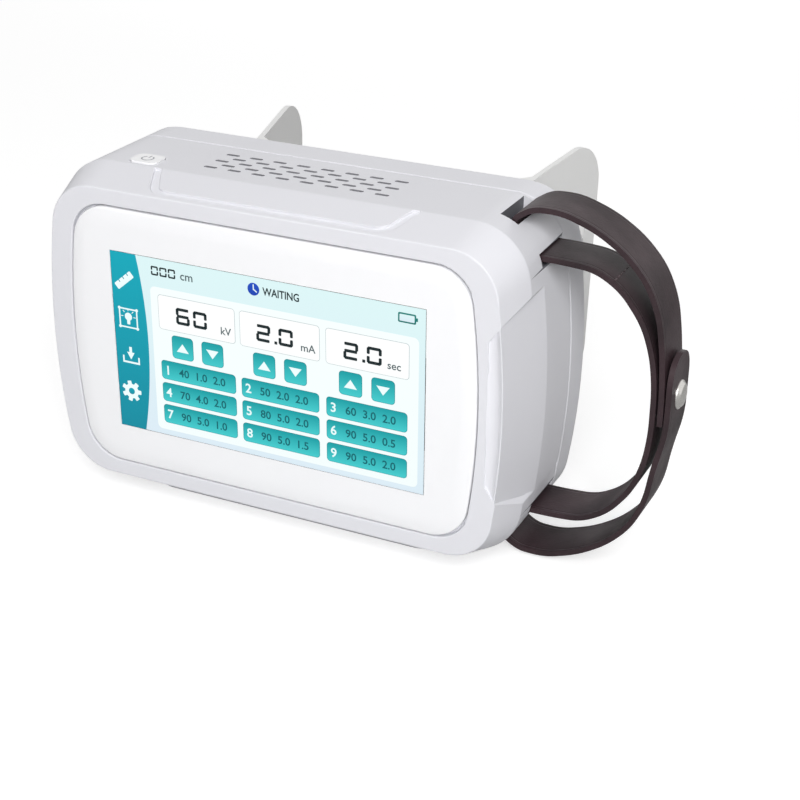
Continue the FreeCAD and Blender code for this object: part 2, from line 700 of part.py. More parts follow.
def hand_strap():
    low = SLOT - size("strap_wide") / 2
    face = band_face(strap_route(), size("strap_thick"), lambda u, v: at(u, low, v))
    strap = face.extrude(Vec(0, size("strap_wide"), 0))
    tip = at(0, 0, 24.0).z
    corners = [edge for edge in strap.Edges
               if along(X)(edge) and abs(edge.BoundBox.ZMin - tip) < 0.01]
    return keep("hand_strap", strap.makeFillet(size("strap_wide") / 2 - 1, corners))


def snap_stud():
    """Press stud: a low round cap on the tab."""
    body = new_body("snap_stud")
    sketch = circle(body, "YZ_Plane", "stud_circle", "Sizes.snap_radius")
    extrude(body, "Pad", sketch, "Sizes.snap_dome")
    body.setExpression("Placement.Base.x", "Sizes.strap_reach + Sizes.layer_step + Sizes.strap_thick / 2")
    body.setExpression("Placement.Base.y", "Sizes.body_deep / 2 - Sizes.rear_long - Sizes.slot_back")
    body.setExpression("Placement.Base.z", "Sizes.body_tall / 2 + Sizes.pad_tall + Sizes.snap_high")
    return body


# Spacer frame and its wings

def wing_plate():
    """Right-hand wing: a plate with one window, splayed outwards from the frame's rear corner."""
    long, low_long = size("wing_long"), size("wing_low_long")
    top, tip_top = size("wing_top"), size("wing_tip_top")
    bottom, tip_bottom = -size("wing_bottom"), -size("wing_tip_bottom")

    def top_at(run):
        return top + (tip_top - top) * run / long

    def bottom_at(run):
        return bottom + (tip_bottom - bottom) * run / low_long

    def place(run, high):
        return at(size("wing_base"), FRAME + run, high)

    back = -size("base_thick")
    outline = rounded_wire([(back, bottom_at(back)), (low_long, tip_bottom), (long, tip_top), (back, top_at(back))],
                           [size("heel_round"), size("tip_low_round"), size("tip_round"), 0], place)
    near, far_top = size("window_rear"), long - size("window_tip")
    far_bottom = low_long - size("window_tip") + 2
    window = rounded_wire([(near, bottom_at(near) + size("window_bottom")),
                           (far_bottom, bottom_at(far_bottom) + size("window_bottom")),
                           (far_top, top_at(far_top) - size("window_tip_top")),
                           (near, top_at(near) - size("window_top"))],
                          [size("window_round"), size("window_round"), size("window_tip_round"),
                           size("window_round")], place)
    thick = Vec(-size("wing_thick"), 0, 0)
    plate = Part.Face(outline).extrude(thick).cut(Part.Face(window).extrude(thick))
    plate.rotate(at(size("wing_base"), FRAME, 0), Z, -size("wing_splay"))
    return plate


def flange(top, tip, long, end, sign):
    """U-shaped flange along the rear and both wings, at the top (sign 1) or at the bottom (sign -1)."""
    spread = math.tan(math.radians(size("wing_splay")))
    base, wide, rear = size("wing_base"), size("flange_wide"), size("flange_rear")
    lift = math.degrees(math.atan2(tip - top, long * math.cos(math.radians(size("wing_splay")))))
    start = end - size("flange_taper")

    def place(u, v):
        return at(u, FRAME + v, top)

    back = -size("base_thick")
    outer = [(-base, back), (base, back), (base + end * spread, end), (base - wide + start * spread, start),
             (base - wide + rear * spread, rear), (-base + wide - rear * spread, rear),
             (-base + wide - start * spread, start), (-base - end * spread, end)]
    radii = [5, 5, 0.5, 5, 9, 9, 5, 0.5]
    plate = Part.Face(rounded_wire(outer, radii, place)).extrude(Vec(0, 0, -sign * size("wing_thick")))
    plate.rotate(at(0, FRAME, top), X, lift)
    return plate


def spacer_frame():
    """One moulding: a rear plate, two flanges and two splayed wings with windows."""
    right = wing_plate()
    left = mirrored(right, X)
    upper = flange(size("wing_top"), size("wing_tip_top"), size("wing_long"), size("flange_top_end"), 1)
    lower = flange(-size("wing_bottom"), -size("wing_tip_bottom"), size("wing_low_long"), size("flange_low_end"), -1)
    tall = size("wing_top") + size("wing_bottom")
    middle = (size("wing_top") - size("wing_bottom")) / 2
    rear = rounded_slab(2 * size("wing_base"), tall, 5, FRAME - size("base_thick"),
                        FRAME, 0, middle)
    return keep("spacer_frame", rear.fuse([right, left, upper, lower]).removeSplitter())


# Collimator

def turned(points):
    """A piece turned about the beam axis, from a closed profile of (radius, depth) corners."""
    corners = [at(radius, depth, size("beam_high")) for radius, depth in points]
    face = Part.Face(Part.makePolygon(corners + corners[:1]))
    return face.revolve(at(0, 0, size("beam_high")), Y, 360)


def plinth():
    rear = size("body_deep") - size("dish_deep")
    front = FRAME - size("base_thick")
    block_shape = rounded_slab(size("plinth_wide"), size("plinth_tall"), size("plinth_round"), rear, front,
                               0, size("beam_high"))
    return keep("collimator_plinth", block_shape)


def neck():
    """Round neck on the frame's rear plate, which carries the drum."""
    radius = size("neck_radius")
    return keep("collimator_neck", turned([(0, FRAME), (radius, FRAME), (radius, DRUM), (0, DRUM)]))


def aperture_cut(deep_low, deep_high, grow=0.0):
    side = size("aperture") + 2 * grow
    return rounded_slab(side, side, size("aperture_round") + grow, deep_low, deep_high, 0,
                        size("beam_high") - size("aperture_drop"))


def wheel_place():
    angle = math.radians(size("wheel_angle"))
    away = size("wheel_from_axis")
    return away * math.cos(angle), size("beam_high") + away * math.sin(angle)


def wheel_room():
    x, high = wheel_place()
    gap = size("small_gap")
    low = CAP - size("wheel_thick") - 2 * gap
    return Part.makeCylinder(size("wheel_radius") + gap, size("wheel_thick") + 2 * gap, at(x, low, high), Y)


def drum_rear_half():
    radius = size("drum_radius")
    return keep("collimator_drum", turned([(0, DRUM), (radius, DRUM), (radius, CUP), (0, CUP)]))


def drum_front_half():
    radius = size("drum_radius")
    cup = turned([(0, CUP), (radius, CUP), (radius, CAP), (0, CAP)]).cut(wheel_room())
    return keep("collimator_front", cup.cut(aperture_cut(FRONT - size("aperture_deep"), FRONT + 1)))


def front_plate():
    radius = size("drum_radius")
    plate = turned([(0, CAP), (radius, CAP), (radius, FRONT), (0, FRONT)])
    return keep("front_plate", plate.cut(aperture_cut(CAP - 1, FRONT + 1)))


def window_lens():
    rear = FRONT - size("lens_step") - size("lens_thick")
    lens = aperture_cut(rear, rear + size("lens_thick"), -size("small_gap"))
    return keep("window_lens", lens)


def amber_insert():
    """Low eight-sided filter block on the drum's rear half, seen through the aperture."""
    radius = size("insert_radius")
    high = size("beam_high") - size("aperture_drop")
    turns = [math.pi * (i + 0.5) / 4 for i in range(8)]
    corners = [at(radius * math.cos(turn), CUP, high + radius * math.sin(turn)) for turn in turns]
    outline = Part.Face(Part.makePolygon(corners + corners[:1]))
    return keep("amber_insert", outline.extrude(Vec(0, size("insert_high"), 0)))


def thumb_wheel():
    """Notched wheel that changes the filter, half sunk into the drum's edge."""
    x, high = wheel_place()
    low = CAP - size("wheel_thick") - size("small_gap")
    teeth = int(size("wheel_teeth"))
    corners = []
    for i in range(2 * teeth):
        radius = size("wheel_radius") - size("tooth_deep") * (i % 2)
        turn = math.pi * i / teeth
        corners.append(at(x + radius * math.cos(turn), low, high + radius * math.sin(turn)))
    outline = Part.Face(Part.makePolygon(corners + corners[:1]))
    return keep("thumb_wheel", outline.extrude(Vec(0, size("wheel_thick"), 0)))


# Clip for the hand switch

def switch_clip():
    """Open clip with an upright bore: a block with a bore and a throat between two arms."""
    body = new_body("switch_clip")
    outline = rectangle(body, "XY_Plane", "clip_outline", "Sizes.clip_wide", "Sizes.clip_long")
    pad = extrude(body, "Pad", outline, "Sizes.clip_tall")
    upright = edges_where(pad.Shape, lambda edge: along(Z)(edge) and edge.BoundBox.YMin > 0)
    dress(body, "Fillet", pad, upright, "Sizes.clip_round")
    bore = circle(body, "XY_Plane", "bore_circle", "Sizes.clip_bore")
    bore.setExpression("AttachmentOffset.Base.x", "Sizes.clip_offset")
    bore.setExpression("AttachmentOffset.Base.y", "Sizes.clip_wall + Sizes.clip_bore - Sizes.clip_long / 2")
    extrude(body, "Pocket", bore, "Sizes.clip_tall", backwards=True)
    throat = rectangle(body, "XY_Plane", "throat_outline", "Sizes.clip_throat", "Sizes.clip_long")
    throat.setExpression("AttachmentOffset.Base.x", "Sizes.clip_offset")
    throat.setExpression("AttachmentOffset.Base.y", "Sizes.clip_wall + Sizes.clip_bore")
    extrude(body, "Pocket", throat, "Sizes.clip_tall", backwards=True)
    body.setExpression("Placement.Base.x", "-Sizes.clip_side")
    body.setExpression("Placement.Base.y", "(Sizes.body_deep + Sizes.clip_long) / 2")
    body.setExpression("Placement.Base.z", "Sizes.body_tall / 2 + Sizes.pad_tall - Sizes.clip_bottom")
    return body


# Build every piece, check it and write it

for make in (front_shell, rear_shell, face_panel, touch_screen, power_button, side_plate, socket_cover,
             socket_block, rear_plug, base_pad, hand_strap, snap_stud, spacer_frame, plinth, neck,
             drum_rear_half, drum_front_half, front_plate, window_lens, amber_insert, thumb_wheel, switch_clip):
    make()
doc.recompute()

for item in doc.Objects:
    if "Invalid" in item.State or "Error" in item.State:
        raise RuntimeError("%s failed: %s" % (item.Label, item.State))
for item in pieces:
    shape = item.Shape
    if shape.isNull() or not shape.isValid() or len(shape.Solids) < 1:
        raise RuntimeError("%s has no valid solid" % item.Label)
    shape.exportStep("parts/%s.step" % item.Label)
    box = shape.BoundBox
    print("%-18s solids %d volume %.0f x %.1f..%.1f y %.1f..%.1f z %.1f..%.1f" % (
        item.Label, len(shape.Solids), shape.Volume, box.XMin, box.XMax, box.YMin, box.YMax, box.ZMin, box.ZMax))
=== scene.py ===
# %% [markdown]
# # A hand-held x-ray machine
# The machine is a light grey plastic box with a touch screen, a leather strap for the hand and, behind
# it, a round collimator between two wings. Its measured solids are loaded first and stay where they
# are. This lesson gives them their plastics, softens their moulded edges, and models what needs a finer
# shape: the glossy panel, the lit menu, the strap, its press stud, the screws and the small signs.

# %% Open the measured frame
import math
import bpy
from mathutils import Matrix, Vector


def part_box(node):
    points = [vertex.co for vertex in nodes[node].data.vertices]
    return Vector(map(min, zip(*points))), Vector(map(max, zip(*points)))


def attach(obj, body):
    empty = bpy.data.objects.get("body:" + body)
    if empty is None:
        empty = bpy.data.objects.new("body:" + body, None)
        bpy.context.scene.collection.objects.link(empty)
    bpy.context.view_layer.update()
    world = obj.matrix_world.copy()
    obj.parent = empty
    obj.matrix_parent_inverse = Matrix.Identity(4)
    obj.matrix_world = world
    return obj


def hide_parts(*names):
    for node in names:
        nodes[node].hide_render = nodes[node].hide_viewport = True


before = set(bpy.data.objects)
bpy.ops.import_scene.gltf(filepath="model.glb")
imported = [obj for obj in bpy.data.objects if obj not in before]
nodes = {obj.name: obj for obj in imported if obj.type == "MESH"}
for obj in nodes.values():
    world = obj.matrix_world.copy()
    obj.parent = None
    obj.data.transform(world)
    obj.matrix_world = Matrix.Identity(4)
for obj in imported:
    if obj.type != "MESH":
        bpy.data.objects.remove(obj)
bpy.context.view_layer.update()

print("pieces in the frame:", len(nodes))

# %% [markdown]
# ## Places
# The machine's sizes and places are in millimetres, counted from the middle of the screen: x to the
# right, depth behind the front ring, and height above the housing's middle. One helper turns such a
# place into the frame's metres. The camera, the lamps and the floor are placed in metres.

# %% From millimetres to the frame
HALF_DEEP = 42.0
MIDDLE = 82.5
MM = 0.001
UPRIGHT = (math.radians(90), 0, 0)  # turns a flat plane or a standing cylinder to look forward


def at(x, depth, high):
    return Vector((x, depth - HALF_DEEP, high + MIDDLE)) * MM


def place_of(point):
    """The same three numbers, in millimetres, of a point of the frame."""
    return point.x / MM, point.y / MM + HALF_DEEP, point.z / MM - MIDDLE


print("the screen's middle is at", [round(v, 4) for v in at(0, 0, 0)])

# %% [markdown]
# ## Camera
# The photograph was taken from the right and from above, through a lens about as long as 75 mm on a
# full-frame camera. The place and the turn come from lines that are straight and square on the real
# machine.

# %% Camera
bpy.ops.object.camera_add(location=(0.3356, -0.6128, 0.3840),
                          rotation=(math.radians(64.424), math.radians(-0.446), math.radians(25.590)))
camera = bpy.context.active_object
camera.data.lens = 75.04
camera.data.sensor_width = 36
bpy.context.scene.camera = camera
print("lens", camera.data.lens)

# %% [markdown]
# ## Light
# White plastic needs soft light with a clear direction, or its planes run together. The sky is bright
# in front and above, a little less so behind, and dark at the two sides, as between black flags in a
# studio, so the flanks read as darker planes. One large lamp in front, to the right and above, models
# the bevels, and a weaker, low one behind fills the back.

# %% Sky and lamps
SKY_FRONT = 0.4
SKY_SIDE = 0.1
SKY_BACK = 0.38
# how far a direction leans to the side, or to the back, where the change begins and ends
SIDE_BEGINS, SIDE_ENDS = 0.35, 0.95
BACK_BEGINS, BACK_ENDS = 0.1, 0.7
LAMP_AIM = (0.0, 0.0, 0.08)
LAMP_SIZE = 1.0
KEY_WATTS, BACK_WATTS = 36, 9


def new_node(tree, kind, **values):
    node = tree.nodes.new(kind)
    for key, value in values.items():
        if hasattr(node, key):
            setattr(node, key, value)
        else:
            node.inputs[key].default_value = value
    return node


def ranged(tree, source, low, high, to_low, to_high):
    """A number carried from one range into another, with its ends held."""
    step = new_node(tree, "ShaderNodeMapRange")
    for key, value in (("From Min", low), ("From Max", high), ("To Min", to_low), ("To Max", to_high)):
        step.inputs[key].default_value = value
    tree.links.new(source, step.inputs["Value"])
    return step.outputs["Result"]


def combined(tree, operation, first, second):
    """Two numbers put together by one operation; the second may be a plain number."""
    step = new_node(tree, "ShaderNodeMath", operation=operation)
    tree.links.new(first, step.inputs[0])
    if isinstance(second, (int, float)):
        step.inputs[1].default_value = second
    else:
        tree.links.new(second, step.inputs[1])
    return step.outputs[0]


world = bpy.data.worlds.new("studio_sky")
bpy.context.scene.world = world
world.use_nodes = True
sky = world.node_tree
sky.nodes.clear()
heading = new_node(sky, "ShaderNodeTexCoord")
parts = new_node(sky, "ShaderNodeSeparateXYZ")
sky.links.new(heading.outputs["Generated"], parts.inputs[0])
aside = combined(sky, "ABSOLUTE", parts.outputs["X"], 0.0)
side_level = ranged(sky, aside, SIDE_BEGINS, SIDE_ENDS, SKY_FRONT, SKY_SIDE)
back_level = ranged(sky, parts.outputs["Y"], BACK_BEGINS, BACK_ENDS, SKY_FRONT, SKY_BACK)
light_level = combined(sky, "MINIMUM", side_level, back_level)
ray = new_node(sky, "ShaderNodeLightPath")
seen = combined(sky, "MAXIMUM", ray.outputs["Is Camera Ray"], ray.outputs["Is Glossy Ray"])
seen = combined(sky, "MAXIMUM", seen, ray.outputs["Is Transmission Ray"])
strength = combined(sky, "MAXIMUM", light_level, seen)
background = new_node(sky, "ShaderNodeBackground", Color=(1.0, 1.0, 1.0, 1.0))
sky.links.new(strength, background.inputs["Strength"])
world_out = new_node(sky, "ShaderNodeOutputWorld")
sky.links.new(background.outputs[0], world_out.inputs[0])


def lamp(name, place, watts):
    """A square soft box that looks at the machine."""
    bpy.ops.object.light_add(type="AREA", location=place)
    light = bpy.context.active_object
    light.name = name
    light.data.size = LAMP_SIZE
    light.data.energy = watts
    light.rotation_euler = (Vector(LAMP_AIM) - Vector(place)).to_track_quat("-Z", "Y").to_euler()
    return light


lamp("key_light", (0.84, -1.42, 1.2), KEY_WATTS)
fill = lamp("back_light", (-0.6, 1.9, 0.45), BACK_WATTS)
fill.visible_glossy = False
print("sky levels", SKY_FRONT, SKY_SIDE, SKY_BACK)

# %% [markdown]
# ## Floor
# The machine stands on a white table. The floor adds light of its own for the camera only, so it reads
# as the white of the photograph and still keeps a soft shadow.

# %% Floor
TABLE_SIZE = 12
TABLE_GREY = 0.55
TABLE_GLOW = 0.63
bpy.ops.mesh.primitive_plane_add(size=TABLE_SIZE, location=(0, 0, 0))
floor = bpy.context.active_object
floor.name = "floor"
floor_paint = bpy.data.materials.new("white_table")
floor_paint.use_nodes = True
tree = floor_paint.node_tree
tree.nodes.clear()
ray = new_node(tree, "ShaderNodeLightPath")
matt = new_node(tree, "ShaderNodeBsdfDiffuse", Color=(TABLE_GREY, TABLE_GREY, TABLE_GREY, 1.0))
glow = new_node(tree, "ShaderNodeEmission", Color=(1.0, 1.0, 1.0, 1.0))
camera_glow = combined(tree, "MULTIPLY", ray.outputs["Is Camera Ray"], TABLE_GLOW)
tree.links.new(camera_glow, glow.inputs["Strength"])
both = new_node(tree, "ShaderNodeAddShader")
paint_out = new_node(tree, "ShaderNodeOutputMaterial")
tree.links.new(matt.outputs[0], both.inputs[0])
tree.links.new(glow.outputs[0], both.inputs[1])
tree.links.new(both.outputs[0], paint_out.inputs[0])
floor.data.materials.append(floor_paint)
print("floor", floor.dimensions.x, "m wide")

# %% [markdown]
# ## Moulded plastic
# A moulding is never one flat colour: its skin has a fine spark-eroded grain, its shine changes a
# little from place to place, and its colour drifts by a percent or two. One recipe with different
# numbers serves all the mouldings.

# %% Plastic recipe


def linear(hex_colour):
    """The colour that a screen shows for a hex code, as the linear values that a shader wants."""
    parts = [int(hex_colour[i:i + 2], 16) / 255 for i in (1, 3, 5)]
    return tuple(p / 12.92 if p <= 0.04045 else ((p + 0.055) / 1.055) ** 2.4 for p in parts) + (1.0,)


def shader_tree(name):
    material = bpy.data.materials.new(name)
    material.use_nodes = True
    tree = material.node_tree
    tree.nodes.clear()
    out = new_node(tree, "ShaderNodeOutputMaterial")
    skin = new_node(tree, "ShaderNodeBsdfPrincipled")
    tree.links.new(skin.outputs[0], out.inputs[0])
    where = new_node(tree, "ShaderNodeTexCoord")
    return material, tree, skin, where


def noise(tree, vector, scale, detail=2.0):
    cloud = new_node(tree, "ShaderNodeTexNoise", Scale=scale, Detail=detail)
    tree.links.new(vector, cloud.inputs["Vector"])
    return cloud.outputs["Fac"]


def two_tones(tree, share, colour, shade):
    """A colour that moves between two tones."""
    tones = new_node(tree, "ShaderNodeMix", data_type="RGBA")
    tones.inputs[6].default_value = linear(colour)
    tones.inputs[7].default_value = linear(shade)
    tree.links.new(share, tones.inputs[0])
    return tones.outputs[2]


def bumped(tree, skin, height, strength, distance):
    bump = new_node(tree, "ShaderNodeBump", Strength=strength, Distance=distance)
    tree.links.new(height, bump.inputs["Height"])
    tree.links.new(bump.outputs["Normal"], skin.inputs["Normal"])


def plastic(name, colour, shade, roughness=(0.38, 0.46), grain=0.35, depth=0.12, coat=0.0):
    """Moulded plastic; colour and shade are two near tones, grain is the size of its texture in mm."""
    material, tree, skin, where = shader_tree(name)
    drift = noise(tree, where.outputs["Object"], 14.0, 3.0)
    tree.links.new(two_tones(tree, drift, colour, shade), skin.inputs["Base Color"])
    tree.links.new(ranged(tree, drift, 0.3, 0.7, *roughness), skin.inputs["Roughness"])
    bumped(tree, skin, noise(tree, where.outputs["Object"], 1000 / grain), depth, 0.0001)
    skin.inputs["Coat Weight"].default_value = coat
    skin.inputs["Coat Roughness"].default_value = 0.08
    return material


shell_plastic = plastic("cool_grey_shell", "#E3E3E8", "#DEDEE3")
frame_plastic = plastic("pale_grey_frame", "#EDEDEC", "#E8E8E7", roughness=(0.32, 0.4))
panel_plastic = plastic("glossy_white", "#F8F8FA", "#F5F5F7", roughness=(0.1, 0.16), grain=2.0,
                        depth=0.02, coat=0.6)
button_plastic = plastic("white_cap", "#FCFCFD", "#F8F8FA", roughness=(0.2, 0.28))
plate_plastic = plastic("side_plate_white", "#E6E6EA", "#E0E0E5", roughness=(0.3, 0.38))
dark_plastic = plastic("black_plastic", "#2A2A2D", "#222225", roughness=(0.4, 0.5))
# painted shade: two darker plastics that stand in for the shade deep in the vents and slots
vent_painted_shade = plastic("vent_walls_painted_shade", "#8C8C91", "#7C7C81", roughness=(0.6, 0.7))
slot_painted_shade = plastic("slot_ends_painted_shade", "#6E6E74", "#5C5C62", roughness=(0.6, 0.7))
cream_plastic = plastic("cream_wheel", "#D8CDB0", "#CBBE9E")
sign_plastic = plastic("sign_grey", "#8E9096", "#85878D", roughness=(0.4, 0.5))
print("plastics ready:", len(bpy.data.materials))

# %% [markdown]
# ## Other finishes
# The pad under the housing is pale matt rubber with a coarse skin. The strap is dyed leather: its grain
# and the two pressed lines beside its edges follow the strap, so they read the strap's own map. The
# stud and screws are bright metal, and behind the collimator's window sits an amber filter.

# %% Rubber, leather, metal, glass


def leather(name, colour, shade, long, wide):
    """Dyed leather with pebbled grain and a pressed line beside each edge; long and wide in mm."""
    material, tree, skin, where = shader_tree(name)
    spread = new_node(tree, "ShaderNodeMapping")
    spread.inputs["Scale"].default_value = (long, wide, 1.0)
    tree.links.new(where.outputs["UV"], spread.inputs["Vector"])
    pebbles = new_node(tree, "ShaderNodeTexVoronoi", Scale=1.1)
    tree.links.new(spread.outputs[0], pebbles.inputs["Vector"])
    streaks = noise(tree, where.outputs["Object"], 45.0, 4.0)
    across = new_node(tree, "ShaderNodeSeparateXYZ")
    tree.links.new(where.outputs["UV"], across.inputs[0])
    from_middle = combined(tree, "ABSOLUTE", combined(tree, "SUBTRACT", across.outputs["Y"], 0.5), 0.0)
    beside_line = combined(tree, "ABSOLUTE", combined(tree, "SUBTRACT", from_middle, 0.42), 0.0)
    line = ranged(tree, beside_line, 0.0, 0.02, 0.0, 1.0)
    tree.links.new(two_tones(tree, ranged(tree, streaks, 0.35, 0.65, 0.0, 1.0), colour, shade),
                   skin.inputs["Base Color"])
    height = combined(tree, "ADD", combined(tree, "MULTIPLY", pebbles.outputs["Distance"], 0.3), line)
    bumped(tree, skin, height, 0.5, 0.0003)
    tree.links.new(ranged(tree, streaks, 0.3, 0.7, 0.42, 0.56), skin.inputs["Roughness"])
    skin.inputs["Specular IOR Level"].default_value = 0.3
    return material


def metal(name, colour, roughness):
    """Bright metal with faint turning marks."""
    material, tree, skin, where = shader_tree(name)
    marks = noise(tree, where.outputs["Object"], 2500.0)
    tree.links.new(ranged(tree, marks, 0.0, 1.0, roughness, roughness + 0.14), skin.inputs["Roughness"])
    skin.inputs["Base Color"].default_value = linear(colour)
    skin.inputs["Metallic"].default_value = 1.0
    return material


def window_glass(name, colour, clear):
    """Thin clear cover with a faint cloud of haze in its shine."""
    material, tree, skin, where = shader_tree(name)
    haze = noise(tree, where.outputs["Object"], 120.0)
    tree.links.new(ranged(tree, haze, 0.0, 1.0, 0.04, 0.12), skin.inputs["Roughness"])
    skin.inputs["Base Color"].default_value = linear(colour)
    skin.inputs["Transmission Weight"].default_value = clear
    skin.inputs["IOR"].default_value = 1.49
    return material


pad_rubber = plastic("pad_rubber", "#D2D2D6", "#C8C8CC", roughness=(0.7, 0.8), grain=0.6, depth=0.3)
stud_metal = metal("stud_steel", "#D6D4D0", 0.22)
lens_glass = window_glass("window_cover", "#F7F1E8", 0.9)
amber_filter = plastic("amber_filter", "#D8944A", "#B26E30", roughness=(0.2, 0.3), grain=3.0, coat=0.5)
print("finishes ready:", len(bpy.data.materials))

# %% [markdown]
# ## Working by hand in code
# At the desk a modeller clicks on what should change. Here a test picks it: a function looks at the
# place of each vertex, edge or face and says yes or no. These few helpers pick, shape and finish every
# piece below.

# %% Helpers for shaping


def only(piece):
    """Select one object and nothing else."""
    if bpy.context.mode != "OBJECT":
        bpy.ops.object.mode_set(mode="OBJECT")
    bpy.ops.object.select_all(action="DESELECT")
    piece.select_set(True)
    bpy.context.view_layer.objects.active = piece


def pick(piece, kind, test):
    """Open a piece for shaping with the vertices, edges or faces selected that pass the test."""
    only(piece)
    mesh = piece.data
    for group in (mesh.vertices, mesh.edges, mesh.polygons):
        group.foreach_set("select", [False] * len(group))
    bpy.context.tool_settings.mesh_select_mode = (kind == "vertices", kind == "edges", kind == "faces")
    for item in getattr(mesh, {"faces": "polygons"}.get(kind, kind)):
        item.select = bool(test(item))
    bpy.ops.object.mode_set(mode="EDIT")


def middle_of(mesh, edge):
    a, b = (mesh.vertices[i].co for i in edge.vertices)
    return (a + b) / 2


def open_edges(piece):
    """How many edges don't have exactly two faces; a closed piece has none."""
    uses = {}
    for face in piece.data.polygons:
        for key in face.edge_keys:
            uses[key] = uses.get(key, 0) + 1
    return sum(1 for edge in piece.data.edges if uses.get(tuple(sorted(edge.vertices)), 0) != 2)


def close_up():
    """Turn every face of the open piece outwards and leave edit mode."""
    bpy.ops.mesh.select_all(action="SELECT")
    bpy.ops.mesh.normals_make_consistent(inside=False)
    bpy.ops.object.mode_set(mode="OBJECT")


def modified(piece, kind, **settings):
    """Give a piece a modifier with its settings and apply it."""
    only(piece)
    bpy.ops.object.modifier_add(type=kind)
    for key, value in settings.items():
        setattr(piece.modifiers[-1], key, value)
    bpy.ops.object.modifier_apply(modifier=piece.modifiers[-1].name)


def cut_by(piece, tool):
    """Take the shape of a tool out of a piece; the tool goes."""
    modified(piece, "BOOLEAN", object=tool)
    bpy.data.objects.remove(tool)


def finish(piece, name, material, replaced=(), body="machine", smooth=35):
    """Apply the place, smooth the shading, give the finish and fasten the piece to its body.

    With weighted normals large flat faces keep their own direction, so only the rounded edges shade.
    """
    only(piece)
    piece.name = name
    piece.data.name = name
    bpy.ops.object.transform_apply()
    bpy.ops.object.shade_smooth_by_angle(angle=math.radians(smooth))
    modified(piece, "WEIGHTED_NORMAL", keep_sharp=True)
    if len(piece.data.materials) == 0:
        piece.data.materials.append(material)
    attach(piece, body)
    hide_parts(*replaced)
    print(name, "faces", len(piece.data.polygons), "open edges", open_edges(piece))


def joined(pieces):
    """Several objects made into one."""
    only(pieces[0])
    for piece in pieces:
        piece.select_set(True)
    if len(pieces) > 1:
        bpy.ops.object.join()
    return bpy.context.active_object


# %% [markdown]
# ## Softened mouldings
# A moulded edge has a small radius that catches the light as a thin bright line. The measured solids
# have sharp edges, so a copy of each is taken, its flat areas are merged again, its sharp edges are
# picked by their angle, and a narrow bevel rounds those that have room for it. The copy then stands for
# the solid.

# %% Softening tool
# the least length of an edge and the least width of both its faces, as shares of the bevel's width
ROOM_ALONG, ROOM_BESIDE = 1.3, 2.3


def copy_of(name):
    """A copy of a measured piece with its loose triangles merged into a closed mesh of large faces."""
    piece = bpy.data.objects.new(name + "_skin", nodes[name].data.copy())
    bpy.context.scene.collection.objects.link(piece)
    piece.data.materials.clear()
    only(piece)
    bpy.ops.object.mode_set(mode="EDIT")
    bpy.ops.mesh.select_all(action="SELECT")
    bpy.ops.mesh.remove_doubles(threshold=2e-6)
    bpy.ops.mesh.dissolve_limited(angle_limit=math.radians(0.4))
    bpy.ops.object.mode_set(mode="OBJECT")
    return piece


def room_for(mesh, edge, faces, width):
    """Whether an edge is long enough, and both its faces wide enough, for a bevel of a width in mm."""
    start, end = (mesh.vertices[i].co for i in edge.vertices)
    if (end - start).length < ROOM_ALONG * width * MM:
        return False
    heading = (end - start).normalized()
    for face in faces:
        reach = 0.0
        for i in face.vertices:
            away = mesh.vertices[i].co - start
            reach = max(reach, (away - away.dot(heading) * heading).length)
        if reach < ROOM_BESIDE * width * MM:
            return False
    return True


def rounded(piece, width, sharp=16, where=None):
    """Bevel the edges that are sharper than an angle in degrees and have room for it; width in mm."""
    only(piece)
    bpy.context.tool_settings.mesh_select_mode = (False, True, False)
    bpy.ops.object.mode_set(mode="EDIT")
    bpy.ops.mesh.select_all(action="DESELECT")
    bpy.ops.mesh.edges_select_sharp(sharpness=math.radians(sharp))
    bpy.ops.object.mode_set(mode="OBJECT")
    mesh = piece.data
    beside = {}
    for face in mesh.polygons:
        for key in face.edge_keys:
            beside.setdefault(key, []).append(face)
    chosen = {edge.index for edge in mesh.edges
              if edge.select and room_for(mesh, edge, beside[tuple(sorted(edge.vertices))], width)
              and (where is None or where(*place_of(middle_of(mesh, edge))))}
    pick(piece, "edges", lambda edge: edge.index in chosen)
    bpy.ops.mesh.bevel(offset=width * MM, segments=2, clamp_overlap=False)
    bpy.ops.object.mode_set(mode="OBJECT")
    return len(chosen)


print("helpers ready")

# %% [markdown]
# ## The two shells
# The front shell's vents, strap slots and channel are cut in the measured solid already. Only its long
# moulded edges are rounded, such as the ring's ridge, the line where the bevel meets the flanks, and
# the rim of the panel's seat. The vents, the slots, the thumb recess, and the seats of the button and
# the plates stay sharp. The faces deep in the vents and slots get a darker colour, which is painted
# shade: on the real machine they open into the dark, shaded housing, and this solid is closed there.
# The rear shell's screw holes are cut by cylinders.

# %% Front and rear shell
TOP = 76.5
SIDE = 118.0
VENT_HALF, VENT_FRONT, VENT_BACK = 47.0, 27.0, 53.0
SLOT_INNER, SLOT_FRONT, SLOT_BACK, SLOT_LOW = 93.5, 32.5, 59.5, 55.0
SHELL_EDGE, REAR_EDGE = 0.5, 0.7


def in_vents(x, depth, high):
    return abs(x + 1) < VENT_HALF + 3 and VENT_FRONT < depth < VENT_BACK and high > TOP - 4


def in_slots(x, depth, high):
    return x > SLOT_INNER and SLOT_FRONT < depth < SLOT_BACK and abs(high) > SLOT_LOW


def long_moulded_edge(x, depth, high):
    near_slots = (x > SLOT_INNER - 3 and SLOT_FRONT - 3 < depth < SLOT_BACK + 3
                  and abs(high) > SLOT_LOW - 8)
    near_button = x < -62 and 14 < depth < 40 and high > 70
    near_plate = x < -105 and 17 < depth < 62 and abs(high) < 70
    recess_end = x > 96 and abs(high) < 52 and depth < 20
    return not (in_vents(x, depth, high) or near_slots or near_button or near_plate or recess_end)


